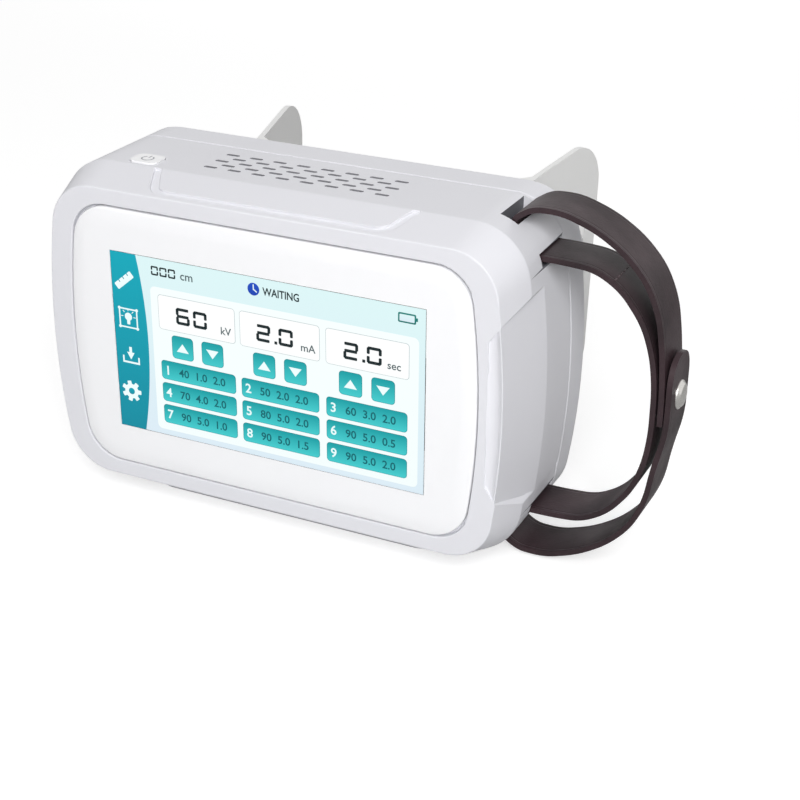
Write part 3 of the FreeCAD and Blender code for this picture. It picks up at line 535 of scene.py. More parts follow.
front = copy_of("front_shell")
print("front shell edges rounded:", rounded(front, SHELL_EDGE, sharp=9.5, where=long_moulded_edge))
front.data.materials.append(shell_plastic)
# the second and third finishes are painted shade for the deep faces of the vents and slots
front.data.materials.append(vent_painted_shade)
front.data.materials.append(slot_painted_shade)
for face in front.data.polygons:
    x, depth, high = place_of(face.center)
    # the upright walls of the vents, and the inner ends of the slots, take the painted shade
    if in_vents(x, depth, high) and high < TOP - 0.2 and abs(face.normal.z) < 0.9:
        face.material_index = 1
    if in_slots(x, depth, high) and (abs(high) < 62 or x < 102.5):
        face.material_index = 2
finish(front, "front_shell_skin", shell_plastic, ["front_shell"], smooth=9.5)

SCREW_HOLES = [(-101.5, 35.0), (-92.0, -55.0), (92.0, -55.0)]
HOLE_RADIUS, HOLE_TOOL_LONG = 3.4, 12
REAR_FACE = 84.0


def clear_of_plug(x, depth, high):
    return not (x > 94 and high > 34 and depth > 78)


rear = copy_of("rear_shell")
print("rear shell edges rounded:", rounded(rear, REAR_EDGE, where=clear_of_plug))
for x, high in SCREW_HOLES:
    bpy.ops.mesh.primitive_cylinder_add(vertices=40, radius=HOLE_RADIUS * MM, depth=HOLE_TOOL_LONG * MM,
                                        location=at(x, REAR_FACE, high), rotation=UPRIGHT)
    cut_by(rear, bpy.context.active_object)
finish(rear, "rear_shell_skin", shell_plastic, ["rear_shell"], smooth=24)

# %% [markdown]
# ## Frame, collimator and small mouldings
# These need nothing but their small radii; the frame's own small fillets leave no room for more, so it
# only gets clean shading. The drum has one flat on its rim, where the thumb wheel looks out, so its
# three layers are trimmed by the same plane before their edges are rounded.

# %% Softened frame, clip and collimator
BEAM_HIGH = 5.4
WHEEL_ANGLE = math.radians(48.0)
RIM_FLAT = 52.2


def trim_rim(piece):
    """Cut the flat for the thumb wheel."""
    outward = Vector((math.cos(WHEEL_ANGLE), 0, math.sin(WHEEL_ANGLE)))
    only(piece)
    bpy.ops.object.mode_set(mode="EDIT")
    bpy.ops.mesh.select_all(action="SELECT")
    bpy.ops.mesh.bisect(plane_co=at(0, 0, BEAM_HIGH) + outward * RIM_FLAT * MM, plane_no=outward,
                        use_fill=True, clear_outer=True)
    bpy.ops.object.mode_set(mode="OBJECT")


RIM_LAYERS = ("collimator_drum", "collimator_front", "front_plate")
SOFT_PIECES = [
    # node, edge radius in mm, finish, slot
    ("spacer_frame", 0.0, frame_plastic, "frame"),
    ("collimator_plinth", 0.8, frame_plastic, "frame"),
    ("collimator_neck", 0.5, frame_plastic, "frame"),
    ("collimator_drum", 0.45, frame_plastic, "frame"),
    ("collimator_front", 0.35, frame_plastic, "frame"),
    ("front_plate", 0.6, frame_plastic, "frame"),
    ("switch_clip", 0.9, shell_plastic, "shell"),
    ("side_plate", 0.15, plate_plastic, "plate"),
    ("socket_cover", 0.3, shell_plastic, "cover"),
    ("rear_plug", 0.5, button_plastic, "button"),
    ("power_button", 0.6, button_plastic, "button"),
    ("base_pad", 1.2, pad_rubber, "pad"),
    ("thumb_wheel", 0.25, cream_plastic, "wheel"),
    ("socket_block", 0.2, dark_plastic, "socket"),
]
for name, width, material, slot in SOFT_PIECES:
    skin = copy_of(name)
    if name in RIM_LAYERS:
        trim_rim(skin)
    if width:
        rounded(skin, width, sharp=25)
    body = "cover" if name == "socket_cover" else "machine"
    finish(skin, name + "_skin", material, [name], body=body)

# %% [markdown]
# ## Glossy front panel
# The panel is a thick white sheet with round corners, gently bowed short sides and a pillowed rim: its
# last eight millimetres fall away by nearly one, so a soft grey line of shade runs inside the seam. A
# plane is given the outline and extruded to its thickness, and four insets raise its middle, each by
# less than the one before. Four cuts mark the seat of the glass, which is then pushed in.

# %% Panel
PANEL_WIDE, PANEL_TALL, PANEL_ROUND, PANEL_THICK = 199.7, 124.3, 15.2, 4.2
PANEL_FACE = -1.2
SIDE_CURVE = 340.0
RIM_FALL = 0.9
PILLOW = ((2.2, 0.42), (2.0, 0.26), (1.8, 0.15), (1.6, 0.07))
# nine cuts divide a short side; the outermost ones, at 0.4 of the height, move out to this height
BOW_CUTS, OUTERMOST_CUT, BOW_REACH = 9, 0.4, 44.0
PANEL_EDGE = 0.7
SEAT_GAP, SEAT_DEEP = 0.12, 0.9

bpy.ops.mesh.primitive_plane_add(size=1, location=at(0, PANEL_FACE + RIM_FALL, 0), rotation=UPRIGHT)
panel = bpy.context.active_object
panel.scale = (PANEL_WIDE * MM, PANEL_TALL * MM, 1)
bpy.ops.object.transform_apply()
pick(panel, "edges", lambda edge: abs(middle_of(panel.data, edge).x) > 0.09)
bpy.ops.mesh.subdivide(number_cuts=BOW_CUTS)
bpy.ops.object.mode_set(mode="OBJECT")
for vertex in panel.data.vertices:
    x, depth, high = place_of(vertex.co)
    if abs(high) < PANEL_TALL / 2 - 1:
        high *= BOW_REACH / (PANEL_TALL * OUTERMOST_CUT)
    bow = SIDE_CURVE - math.sqrt(SIDE_CURVE ** 2 - high ** 2)
    vertex.co = at(math.copysign(PANEL_WIDE / 2 - bow, x), depth, high)
pick(panel, "vertices", lambda vertex: abs(place_of(vertex.co)[2]) > PANEL_TALL / 2 - 1)
bpy.ops.mesh.bevel(offset=PANEL_ROUND * MM, segments=14, affect="VERTICES", clamp_overlap=False)
bpy.ops.mesh.select_all(action="SELECT")
backward = (0, (PANEL_THICK - RIM_FALL) * MM, 0)
bpy.ops.mesh.extrude_region_move(TRANSFORM_OT_translate={"value": backward})
close_up()

pick(panel, "faces", lambda face: face.normal.y < -0.9)
for step, rise in PILLOW:
    bpy.ops.mesh.inset(thickness=step * MM, depth=rise * MM)
bpy.ops.object.mode_set(mode="OBJECT")


def on_rim(edge):
    depths = [place_of(panel.data.vertices[i].co)[1] for i in edge.vertices]
    return all(abs(depth - PANEL_FACE - RIM_FALL) < 0.02 for depth in depths)


pick(panel, "edges", on_rim)
bpy.ops.mesh.bevel(offset=PANEL_EDGE * MM, segments=4, clamp_overlap=False)
bpy.ops.object.mode_set(mode="OBJECT")

glass_low, glass_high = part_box("touch_screen")


def flat_front(face):
    return abs(place_of(face.center)[1] - PANEL_FACE) < 0.01 and face.normal.y < -0.99


for corner, outward in ((glass_low, -1), (glass_high, 1)):
    for axis in (Vector((1, 0, 0)), Vector((0, 0, 1))):
        pick(panel, "faces", flat_front)
        bpy.ops.mesh.bisect(plane_co=corner + axis * outward * SEAT_GAP * MM, plane_no=axis)
        bpy.ops.object.mode_set(mode="OBJECT")
glass_middle = (glass_low + glass_high) / 2


def glass_seat(face):
    away = face.center - glass_middle
    return flat_front(face) and abs(away.x) < 0.02 and abs(away.z) < 0.02


pick(panel, "faces", glass_seat)
bpy.ops.mesh.extrude_region_move(TRANSFORM_OT_translate={"value": (0, SEAT_DEEP * MM, 0)})
bpy.ops.object.mode_set(mode="OBJECT")
finish(panel, "glossy_panel", panel_plastic, ["face_panel"], smooth=40)

# %% [markdown]
# ## The lit menu
# The screen shows a plain menu: a teal side bar with four signs, three value boxes with arrow keys, and
# nine keys for stored settings. Each area is a closed slab a few hundredths of a millimetre thick, laid
# one on the other, so the menu survives any export. Its finish glows, as a screen does, and takes its
# shading from the slab's own map: every key is darker at the top.

# %% Screen finishes


def lit(name, top, bottom):
    """A glowing screen colour that runs from the top of a slab to its bottom."""
    material, tree, skin, where = shader_tree(name)
    split = new_node(tree, "ShaderNodeSeparateXYZ")
    tree.links.new(where.outputs["UV"], split.inputs[0])
    drift = combined(tree, "MULTIPLY", noise(tree, where.outputs["Object"], 90.0), 0.12)
    share = combined(tree, "ADD", split.outputs["Y"], combined(tree, "SUBTRACT", drift, 0.06))
    tree.links.new(two_tones(tree, share, bottom, top), skin.inputs["Emission Color"])
    skin.inputs["Emission Strength"].default_value = 1.0
    skin.inputs["Base Color"].default_value = (0.01, 0.01, 0.01, 1.0)
    skin.inputs["Roughness"].default_value = 0.3
    skin.inputs["Specular IOR Level"].default_value = 0.08
    return material


INKS = {
    "sky": lit("menu_sky", "#DDF6F7", "#DCECF6"),
    "card": lit("menu_card", "#F7FEFE", "#F4FDFD"),
    "bar": lit("menu_bar", "#05A8BB", "#068BA0"),
    "line": lit("menu_line", "#B5C4C7", "#B0BFC2"),
    "box": lit("menu_box", "#FFFFFF", "#FDFFFF"),
    "key": lit("menu_key", "#0C9EA4", "#42CBCD"),
    "key_edge": lit("menu_key_edge", "#08878E", "#1FA2A7"),
    "ink": lit("menu_ink", "#122023", "#1A2B2E"),
    "faint_ink": lit("menu_faint_ink", "#4E5E62", "#566669"),
    "deep_ink": lit("menu_deep_ink", "#065A61", "#07646B"),
    "white": lit("menu_white", "#F2FFFF", "#ECFDFD"),
    "blue": lit("menu_blue", "#1B4FC4", "#1540B0"),
    "green": lit("menu_green", "#1F807A", "#1B736D"),
}
print("screen colours:", len(INKS))

# %% [markdown]
# A key or a bar starts as a plane that looks forward, its corners are rounded by a bevel of its four
# vertices, and an extrusion gives it its thickness. Discs start as circles and words as text. Places on
# the screen are counted in millimetres from its upper left corner.

# %% Slabs, bars and words
# from layer to layer and through a slab, in mm, and a capital's height as a share of the type size
LAYER = 0.05
SLAB = 0.035
CAPITAL = 0.7
TOP_LAYER = 4
slabs = {ink: [] for ink in INKS}


def on_screen(u, v, layer):
    forward = (LAYER * layer + 0.01) * MM
    return Vector((glass_low.x + u * MM, glass_low.y - forward, glass_high.z - v * MM))


def laid(piece, ink, turn=0.0):
    """Turn a slab about its middle, apply its place and file it under its colour."""
    only(piece)
    bpy.ops.object.transform_apply(location=False)
    if turn:
        piece.rotation_euler = (0, math.radians(turn), 0)
    bpy.ops.object.transform_apply()
    slabs[ink].append(piece)
    return piece


def thicken():
    """Extrude the open selection forward by a slab's thickness and close it."""
    bpy.ops.mesh.select_all(action="SELECT")
    bpy.ops.mesh.extrude_region_move(TRANSFORM_OT_translate={"value": (0, -SLAB * MM, 0)})
    close_up()


def tile(ink, left, top, right, bottom, corner, layer, turn=0.0):
    """A rounded rectangular slab."""
    middle = on_screen((left + right) / 2, (top + bottom) / 2, layer)
    bpy.ops.mesh.primitive_plane_add(size=1, location=middle, rotation=UPRIGHT)
    piece = bpy.context.active_object
    piece.scale = ((right - left) * MM, (bottom - top) * MM, 1)
    bpy.ops.object.transform_apply(location=False)
    bpy.ops.object.mode_set(mode="EDIT")
    bpy.ops.mesh.select_all(action="SELECT")
    if corner > 0:
        bpy.ops.mesh.bevel(offset=corner * MM, segments=5, affect="VERTICES", clamp_overlap=False)
    thicken()
    return laid(piece, ink, turn)


def disc(ink, u, v, radius, layer, sides=32, turn=0.0, tall=1.0):
    """A round slab, or a triangle with three sides, made lower by a share."""
    bpy.ops.mesh.primitive_circle_add(vertices=sides, radius=radius * MM, fill_type="NGON",
                                      location=on_screen(u, v, layer), rotation=UPRIGHT)
    piece = bpy.context.active_object
    piece.scale = (1, tall, 1)
    bpy.ops.object.transform_apply(location=False)
    bpy.ops.object.mode_set(mode="EDIT")
    thicken()
    return laid(piece, ink, turn)


def words(ink, text, u, v, tall, wide=1.0, bold=0.06):
    """Letters that start at a place; tall is a capital's height and bold what is added all round."""
    bpy.ops.object.text_add(location=on_screen(u, v, TOP_LAYER), rotation=UPRIGHT)
    piece = bpy.context.active_object
    piece.data.body = text
    piece.data.size = tall / CAPITAL * MM
    piece.data.extrude = SLAB / 2 * MM
    piece.data.resolution_u = 3
    piece.data.offset = bold * MM
    piece.scale = (wide, 1, 1)
    bpy.ops.object.convert(target="MESH")
    bpy.ops.object.mode_set(mode="EDIT")
    bpy.ops.mesh.select_all(action="SELECT")
    bpy.ops.mesh.remove_doubles(threshold=1e-6)
    close_up()
    return laid(bpy.context.active_object, ink)


SEGMENTS = {"0": "abcdef", "2": "abged", "6": "afgedc"}


def display_digit(digit, left, top, wide, tall, thick):
    """A digit of up to seven bars, as on a meter."""
    half = tall / 2
    bars = {"a": (0, 0, wide, thick), "g": (0, half - thick / 2, wide, half + thick / 2),
            "d": (0, tall - thick, wide, tall), "f": (0, 0, thick, half), "e": (0, half, thick, tall),
            "b": (wide - thick, 0, wide, half), "c": (wide - thick, half, wide, tall)}
    for name in SEGMENTS[digit]:
        u0, v0, u1, v1 = bars[name]
        trim_u = thick * 0.35 if name in "agd" else 0.0
        trim_v = thick * 0.35 if name in "bcef" else 0.0
        tile("ink", left + u0 + trim_u, top + v0 + trim_v, left + u1 - trim_u, top + v1 - trim_v,
             thick * 0.3, TOP_LAYER)


print("slab tools ready")

# %% [markdown]
# The top row has the distance, a clock with the machine's state, and a battery. Below it lie three
# boxes with the tube voltage, the current and the time, each with an up and a down key, and the nine
# stored settings.

# %% Menu: ground, boxes and keys
SCREEN_WIDE, SCREEN_TALL = 154.1, 85.9
MARGIN = 0.2
BAR_WIDE, BAR_BULGE = 13.5, 4.2
COLUMNS = (24.0, 65.5, 107.5)
BOX_WIDE = 38.6
UNITS = ("kV", "mA", "sec")
READINGS = ("60", "2.0", "2.0")
SETTINGS = ("40  1.0  2.0", "50  2.0  2.0", "60  3.0  2.0",
            "70  4.0  2.0", "80  5.0  2.0", "90  5.0  0.5",
            "90  5.0  1.0", "90  5.0  1.5", "90  5.0  2.0")
DIGIT = {"wide": 7.0, "tall": 7.9, "thick": 1.4}
DIGIT_STEP, POINT_STEP = 8.8, 2.2

tile("sky", MARGIN, MARGIN, SCREEN_WIDE - MARGIN, SCREEN_TALL - MARGIN, 0.0, 0)
tile("card", 20.3, 13.5, 151.0, 83.0, 2.4, 1)
bar = tile("bar", MARGIN, MARGIN, BAR_WIDE, SCREEN_TALL - MARGIN, 0.0, 1)
bar_side = glass_low.x + (BAR_WIDE - 0.1) * MM


def upright_bar_side(edge):
    a, b = (bar.data.vertices[i].co for i in edge.vertices)
    return (a.x + b.x) / 2 > bar_side and abs(a.z - b.z) > 0.01


pick(bar, "edges", upright_bar_side)
bpy.ops.mesh.subdivide(number_cuts=15)
bpy.ops.object.mode_set(mode="OBJECT")
for vertex in bar.data.vertices:
    if vertex.co.x > bar_side:
        share = (glass_high.z - vertex.co.z) / (SCREEN_TALL * MM)
        vertex.co.x += BAR_BULGE * MM * 4 * share * (1 - share)

for column, left in enumerate(COLUMNS):
    right = left + BOX_WIDE
    tile("line", left, 16.7, right + 0.6, 33.2, 1.6, 2)
    tile("box", left + 0.22, 16.92, right + 0.38, 32.98, 1.4, 3)
    u = left + (9.2, 8.3, 8.5)[column]
    for sign in READINGS[column]:
        if sign == ".":
            tile("ink", u + 0.1, 27.9, u + 1.5, 29.3, 0.2, TOP_LAYER)
            u += POINT_STEP
        else:
            display_digit(sign, u, 21.4, **DIGIT)
            u += DIGIT_STEP
    words("faint_ink", UNITS[column], right - (6.9, 8.7, 9.6)[column], 29.8, 3.5)
    for key, pointing in ((6.2, 1), (21.6, -1)):
        tile("key_edge", left + key, 35.1, left + key + 11.1, 46.2, 1.8, 2)
        tile("key", left + key + 0.3, 35.4, left + key + 10.8, 45.9, 1.6, 3)
        disc("white", left + key + 5.55, 40.65 + 0.7 * pointing, 3.6, TOP_LAYER, sides=3,
             turn=0 if pointing > 0 else 180, tall=0.76)
    for row in range(3):
        number = row * 3 + column
        top = 48.2 + 10.95 * row + 0.2 * column
        tile("key_edge", left, top, right, top + 9.3, 1.7, 2)
        tile("key", left + 0.3, top + 0.3, right - 0.3, top + 9.0, 1.5, 3)
        words("white", str(number + 1), left + 1.9, top + 6.8, 4.3, bold=0.1)
        words("deep_ink", SETTINGS[number], left + 9.2, top + 6.6, 3.7, bold=0.08)
print("slabs so far:", sum(len(group) for group in slabs.values()))

# %% [markdown]
# The signs in the side bar are plain shapes: a ruler, a lamp in a frame, an arrow over a tray and a
# gear wheel.

# %% Menu: top row and signs
BULB_U, BULB_V, BULB_RAYS, BULB_REACH = 7.8, 30.6, 5, 3.3
GEAR_U, GEAR_V, GEAR_TEETH, GEAR_REACH = 7.0, 67.5, 7, 4.0

# distance
for i in range(3):
    display_digit("0", 21.4 + 4.4 * i, 3.8, 3.7, 4.3, 0.75)
words("faint_ink", "cm", 36.2, 7.9, 3.9)
# clock and state
disc("blue", 73.0, 5.7, 2.9, 1)
tile("white", 72.75, 3.5, 73.25, 6.1, 0.15, 2)
tile("white", 72.8, 6.0, 74.9, 6.5, 0.15, 3, turn=35)
words("ink", "WAITING", 77.6, 7.5, 3.5, wide=0.82, bold=0.1)
# battery
tile("green", 141.3, 3.3, 149.5, 7.7, 0.6, 1)
tile("sky", 142.0, 4.0, 148.8, 7.0, 0.3, 2)
tile("green", 149.5, 4.7, 150.3, 6.3, 0.2, 1)

# ruler
tile("white", 1.3, 11.6, 12.3, 15.0, 0.5, 2, turn=-40)
for i in range(3):
    tile("bar", 3.9 + 2.15 * i, 13.1 - 1.8 * i, 4.4 + 2.15 * i, 14.6 - 1.8 * i, 0.1, 3, turn=-40)

# lamp in a frame
for u0, v0, u1, v1 in ((2.8, 26.6, 12.8, 27.3), (2.8, 35.4, 12.8, 36.1), (2.9, 26.6, 3.6, 36.1),
                       (12.0, 26.6, 12.7, 36.1)):
    tile("white", u0, v0, u1, v1, 0.1, 2)
for u in (3.2, 12.4):
    for v in (26.9, 35.8):
        disc("white", u, v, 0.75, 2, 12)
disc("white", BULB_U, BULB_V, 1.9, 2)
tile("white", 7.0, 31.6, 8.6, 34.3, 0.3, 2)
for i in range(BULB_RAYS):
    angle = math.radians(180 * i / (BULB_RAYS - 1))
    u, v = BULB_U + BULB_REACH * math.cos(angle), BULB_V - BULB_REACH * math.sin(angle)
    tile("white", u - 0.6, v - 0.18, u + 0.6, v + 0.18, 0.1, 2, turn=-math.degrees(angle))

# arrow over a tray
tile("white", 7.1, 45.4, 8.5, 49.0, 0.1, 2)
disc("white", 7.8, 49.2, 2.3, 2, 3, 180)
for u0, v0, u1, v1 in ((3.4, 52.6, 12.4, 53.5), (3.4, 50.0, 4.2, 53.5), (11.6, 50.0, 12.4, 53.5)):
    tile("white", u0, v0, u1, v1, 0.1, 2)

# gear wheel
disc("white", GEAR_U, GEAR_V, 3.6, 2)
for i in range(GEAR_TEETH):
    angle = 2 * math.pi * i / GEAR_TEETH
    u, v = GEAR_U + GEAR_REACH * math.cos(angle), GEAR_V - GEAR_REACH * math.sin(angle)
    tile("white", u - 1.1, v - 1.05, u + 1.1, v + 1.05, 0.4, 2, turn=-math.degrees(angle))
disc("bar", GEAR_U, GEAR_V, 1.6, 3)

for ink, group in slabs.items():
    if group:
        layer = joined(group)
        finish(layer, "menu_" + ink, INKS[ink])

# %% [markdown]
# ## Leather hand strap
# One long strap goes round both corner bars: it starts under its own outer layer, passes over the upper
# bar, back through the slots as the inner layer, round the lower bar and up again to the tab. A flat
# grid is bent along that route, so its map runs along the strap and the grain follows it. Solidify
# gives the leather its thickness and a bevel breaks its edges.

# %% Strap route
strap_low, strap_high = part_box("hand_strap")
STRAP_THICK = 2.4
STRAP_WIDE = (strap_high.y - strap_low.y) / MM
LAYER_STEP = 3.0
REACH = strap_high.x / MM - LAYER_STEP - STRAP_THICK / 2
BESIDE_BAR, UNDER_BAR = 99.9, 58.9
TAB_TIP = 24.0
# share of the shorter run that a corner's curve takes; it takes less where the strap folds round a bar
CURVE_SHARE = 0.45
TIGHT_TURN = math.radians(50)


def out_to(share, reach=REACH):
    """A place between the housing's side and the strap's farthest run."""
    return SIDE + share * (reach - SIDE)


def strap_points():
    """The strap's middle line in (x, height), from its hidden end to its tab."""
    inner = REACH - LAYER_STEP
    tab = REACH + LAYER_STEP
    over = [(out_to(0.976), 26.0), (out_to(0.927), 42.0), (out_to(0.81), 55.5), (out_to(0.607), 66.5),
            (out_to(0.343), 74.8), (out_to(0.04), TOP + 3.3), (SIDE - 10.5, TOP + 3.0),
            (BESIDE_BAR, TOP - 2.0), (BESIDE_BAR, UNDER_BAR)]
    back = [(out_to(0.086, inner), UNDER_BAR), (out_to(0.386, inner), UNDER_BAR - 1.0),
            (out_to(0.635, inner), 51.0), (out_to(0.85, inner), 38.0), (out_to(0.953, inner), 24.0),
            (out_to(0.991, inner), 10.0)]
    lower_back = [(x, -high) for x, high in reversed(back)]
    lower_over = [(x, -high) for x, high in reversed(over)]
    return [(REACH, -6.0), (REACH - 0.1, 10.0)] + over + back + lower_back + lower_over + [
        (tab - 0.2, -9.0), (tab, 6.0), (tab, TAB_TIP)]


def rounded_route(points, steps=8):
    """The route with every corner replaced by a short curve that leaves the runs where they are."""
    spots = [Vector(p) for p in points]
    line = [spots[0]]
    for before, here, after in zip(spots, spots[1:], spots[2:]):
        turn = (here - before).angle(after - here)
        reach = CURVE_SHARE * min((here - before).length, (after - here).length)
        if turn > TIGHT_TURN:
            reach = min(reach, STRAP_THICK * math.tan(turn / 2))
        start = here + (before - here).normalized() * reach
        end = here + (after - here).normalized() * reach
        for i in range(steps + 1):
            t = i / steps
            line.append(start * (1 - t) ** 2 + here * 2 * t * (1 - t) + end * t ** 2)
    line.append(spots[-1])
    return line


strap_line = rounded_route(strap_points())
runs = [(b - a).length for a, b in zip(strap_line, strap_line[1:])]
strap_long = sum(runs)
print("strap length in mm:", round(strap_long))

# %% Strap
COLUMNS_ALONG, ROWS_ACROSS = 420, 8
TAB_ROUND = 11.0
TAB_EASE = 0.2
STRAP_EDGE = 0.55


def along_strap(distance):
    """A point of the middle line and the direction there, after a distance from the hidden end."""
    for start, run, following in zip(strap_line, runs, strap_line[1:]):
        if distance <= run or following is strap_line[-1]:
            point = start.lerp(following, min(distance / max(run, 1e-9), 1.0))
            return point, (following - start).normalized()
        distance -= run


bpy.ops.mesh.primitive_grid_add(x_subdivisions=COLUMNS_ALONG, y_subdivisions=ROWS_ACROSS, size=1)
strap = bpy.context.active_object
strap_depth = (strap_low.y + strap_high.y) / 2 / MM + HALF_DEEP
places = {}
for vertex in strap.data.vertices:
    share = round(vertex.co.x + 0.5, 5)
    if share not in places:
        places[share] = along_strap(share * strap_long)
    spot, heading = places[share]
    half = STRAP_WIDE / 2
    left = strap_long * (1 - share)
    if left < TAB_ROUND:
        half -= TAB_ROUND - math.sqrt(max(TAB_ROUND ** 2 - (TAB_ROUND - left) ** 2, 0.0)) + TAB_EASE
    side = vertex.co.y * 2
    vertex.co = at(spot.x, strap_depth + side * half, spot.y)
modified(strap, "SOLIDIFY", thickness=STRAP_THICK * MM, offset=0.0)
modified(strap, "BEVEL", width=STRAP_EDGE * MM, segments=3, angle_limit=math.radians(50))
bpy.ops.object.mode_set(mode="EDIT")
close_up()
strap_leather = leather("brown_leather", "#37292D", "#281E21", strap_long, STRAP_WIDE)
finish(strap, "leather_strap", strap_leather, ["hand_strap"], smooth=50)

# %% [markdown]
# ## Stitches
# On the real strap the inner layer is doubled near its upper end, and a row of small stitches closes
# the fold. Here six short round bars lie in a row across its outer face, as a dashed line.

# %% Stitches
STITCHES = 6
STITCH_AT = 0.366  # share of the strap's length
STITCH_MARGIN = 2.5
STITCH_RADIUS, STITCH_LONG, STITCH_PROUD = 0.28, 2.2, 0.02
spot, heading = along_strap(STITCH_AT * strap_long)
outward = Vector((heading.y, 0, -heading.x))
side = 1 if outward.x > 0 else -1
stitches = []
for i in range(STITCHES):
    across = (i - (STITCHES - 1) / 2) * (STRAP_WIDE - 2 * STITCH_MARGIN) / (STITCHES - 1)
    place = at(spot.x, strap_depth + across, spot.y)
    place += outward * side * (STRAP_THICK / 2 + STITCH_PROUD) * MM
    bpy.ops.mesh.primitive_cylinder_add(vertices=10, radius=STITCH_RADIUS * MM, depth=STITCH_LONG * MM,
                                        location=place, rotation=UPRIGHT)
    stitches.append(bpy.context.active_object)
thread = leather("strap_thread", "#6A5A5E", "#5A4C50", strap_long, STRAP_WIDE)
finish(joined(stitches), "strap_stitches", thread)

# %% [markdown]
# ## Turned pieces: press stud and screws
# A stud is a turned cap: a circle is extruded up and scaled ring by ring, as its profile asks. It is a
# little smaller than the measured one, as the photograph shows it. The screws of a size are made once,
# with a cross cut into the head, and copied to each place with a mesh of their own.

# %% Turned pieces
STUD_SHARE = 0.87
HEAD_PROFILE = [(1.0, 0.0), (1.0, 0.3), (0.8, 0.48), (0.4, 0.56), (0.1, 0.58)]
RIM_SCREW, REAR_SCREW, CLIP_SCREW = 1.3, 2.6, 3.2


def facing(place, axis):
    """The turn and the move that carry a piece from the origin and +Z to a place and a direction."""
    return Matrix.Translation(place) @ axis.to_track_quat("Z", "Y").to_matrix().to_4x4()


def turned(rings, base, axis, sides=48):
    """A closed round piece along an axis, from rings of (radius, height) in mm, lowest first."""
    bpy.ops.mesh.primitive_circle_add(vertices=sides, radius=rings[0][0] * MM, fill_type="NGON",
                                      location=(0, 0, rings[0][1] * MM))
    piece = bpy.context.active_object
    bpy.ops.object.transform_apply()
    bpy.ops.object.mode_set(mode="EDIT")
    bpy.ops.mesh.select_all(action="SELECT")
    for (before, low), (radius, high) in zip(rings, rings[1:]):
        bpy.ops.mesh.extrude_region_move(TRANSFORM_OT_translate={"value": (0, 0, (high - low) * MM)})
        bpy.ops.transform.resize(value=(radius / before, radius / before, 1))
    close_up()
    piece.matrix_world = facing(base, axis)
    only(piece)
    bpy.ops.object.transform_apply()
    return piece


stud_low, stud_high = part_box("snap_stud")
stud_radius = STUD_SHARE * (stud_high.z - stud_low.z) / 2 / MM
stud_tall = (stud_high.x - stud_low.x) / MM
stud_base = Vector((stud_low.x, (stud_low.y + stud_high.y) / 2, (stud_low.z + stud_high.z) / 2))
profile = [(1.0, 0.0), (1.0, 0.14), (0.97, 0.3), (0.86, 0.42), (0.82, 0.62), (0.72, 0.82), (0.52, 0.94),
           (0.26, 0.99), (0.05, 1.0)]
stud = turned([(stud_radius * r, stud_tall * h) for r, h in profile], stud_base, Vector((1, 0, 0)))
finish(stud, "press_stud", stud_metal, ["snap_stud"], smooth=60)


def screw(radius):
    """A pan head with a cross recess, its underside at the origin and its axis along +Z."""
    rings = [(radius * 0.98, -1.0)] + [(radius * r, h * radius) for r, h in HEAD_PROFILE]
    head = turned(rings, Vector(), Vector((0, 0, 1)), 32)
    for turn in (0, 90):
        bpy.ops.mesh.primitive_cube_add(size=1, location=(0, 0, HEAD_PROFILE[-1][1] * radius * MM),
                                        rotation=(0, 0, math.radians(turn)))
        slot_tool = bpy.context.active_object
        slot_tool.scale = (1.3 * radius * MM, 0.26 * radius * MM, 0.6 * radius * MM)
        cut_by(head, slot_tool)
    return head


def placed_copies(master, places):
    """Copies of a master piece, each with its own mesh, at places with directions; the master goes."""
    copies = []
    for spot, axis in places:
        copy = bpy.data.objects.new(master.name, master.data.copy())
        bpy.context.scene.collection.objects.link(copy)
        copy.data.transform(facing(spot, axis))
        copies.append(copy)
    bpy.data.objects.remove(master)
    return joined(copies)


BACK = Vector((0, 1, 0))
RIM_RADIUS, RIM_SUNK, HOLE_SUNK = 54.6, 0.3, 5.4
rim_places = []
for angle, depth in ((92.0, 121.0), (180.0, 119.0)):
    outward = Vector((math.cos(math.radians(angle)), 0, math.sin(math.radians(angle))))
    rim_places.append((at(0, depth, BEAM_HIGH) + outward * (RIM_RADIUS - RIM_SUNK) * MM, outward))
rear_places = [(at(x, REAR_FACE - HOLE_SUNK, high), BACK) for x, high in SCREW_HOLES]
clip_places = [(at(-94.5, 86.6, -1.0), BACK)]
for name, radius, spots in (("rim_screws", RIM_SCREW, rim_places),
                            ("rear_screws", REAR_SCREW, rear_places),
                            ("clip_screw", CLIP_SCREW, clip_places)):
    finish(placed_copies(screw(radius), spots), name, stud_metal)

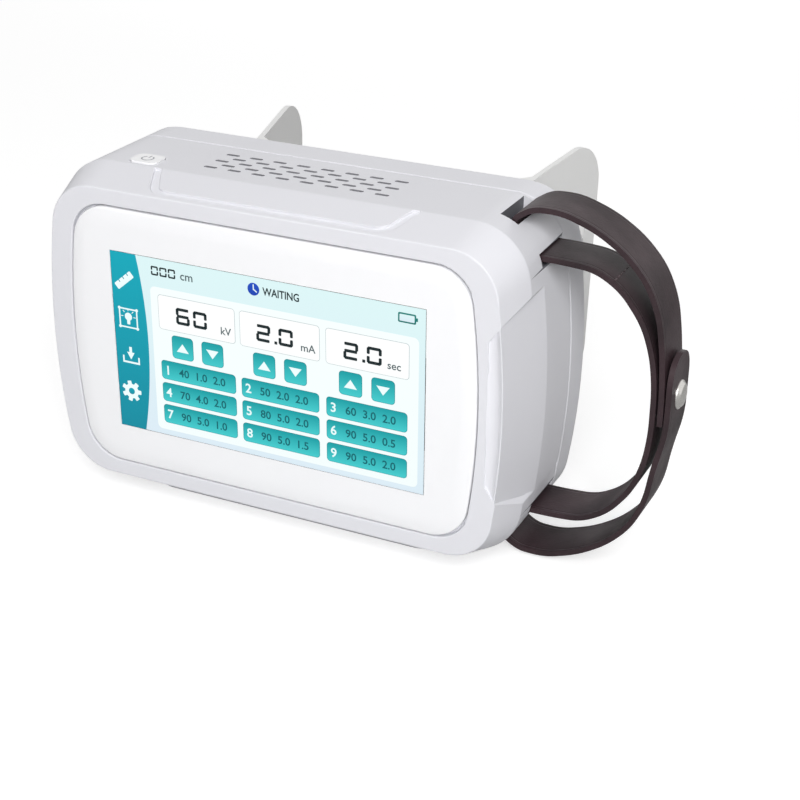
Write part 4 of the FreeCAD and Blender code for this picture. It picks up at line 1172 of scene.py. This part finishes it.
# %% [markdown]
# ## Signs
# The power button carries the usual sign, a ring that is open at the top with a bar in the gap. A small
# rectangle is spun through four fifths of a turn, and a plain bar completes it.

# %% Power sign
button_low, button_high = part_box("power_button")
sign_middle = Vector(((button_low.x + button_high.x) / 2, (button_low.y + button_high.y) / 2,
                      button_high.z))
SIGN_RADIUS, SIGN_LINE, SIGN_PROUD = 2.7, 0.6, 0.06
SIGN_START, SIGN_TURN = 55.0, 290.0
STROKE_LONG, STROKE_OUT = 2.7, 2.3
bpy.ops.mesh.primitive_plane_add(size=1, location=(0, 0, 0), rotation=UPRIGHT)
ring = bpy.context.active_object
ring.scale = (SIGN_LINE * MM, 2 * SIGN_PROUD * MM, 1)
bpy.ops.object.transform_apply(location=False)
ring.location = (SIGN_RADIUS * MM, 0, 0)
bpy.ops.object.transform_apply()
bpy.ops.object.mode_set(mode="EDIT")
bpy.ops.mesh.select_all(action="SELECT")
bpy.ops.mesh.spin(steps=36, angle=math.radians(SIGN_TURN), center=(0, 0, 0), axis=(0, 0, 1))
close_up()
ring.rotation_euler = (0, 0, math.radians(SIGN_START))
ring.location = sign_middle
bpy.ops.object.transform_apply()
bpy.ops.mesh.primitive_cube_add(size=1, location=sign_middle + Vector((0, STROKE_OUT, 0)) * MM)
stroke = bpy.context.active_object
stroke.scale = (SIGN_LINE * MM, STROKE_LONG * MM, 2 * SIGN_PROUD * MM)
sign = joined([ring, stroke])
finish(sign, "power_sign", sign_plastic)

# %% [markdown]
# ## Finishes on the measured pieces
# The few pieces whose measured shape is already right only get their finish.

# %% Dress the frame
for name, material in (("touch_screen", dark_plastic), ("window_lens", lens_glass),
                       ("amber_insert", amber_filter)):
    nodes[name].data.materials.clear()
    nodes[name].data.materials.append(material)
shown = [name for name, node in nodes.items() if not node.hide_render]
print("measured pieces that show:", shown)

# %% [markdown]
# ## Finish
# The render shows colours as they are written, through the Standard view transform.

# %% Finish
bpy.context.scene.view_settings.view_transform = "Standard"
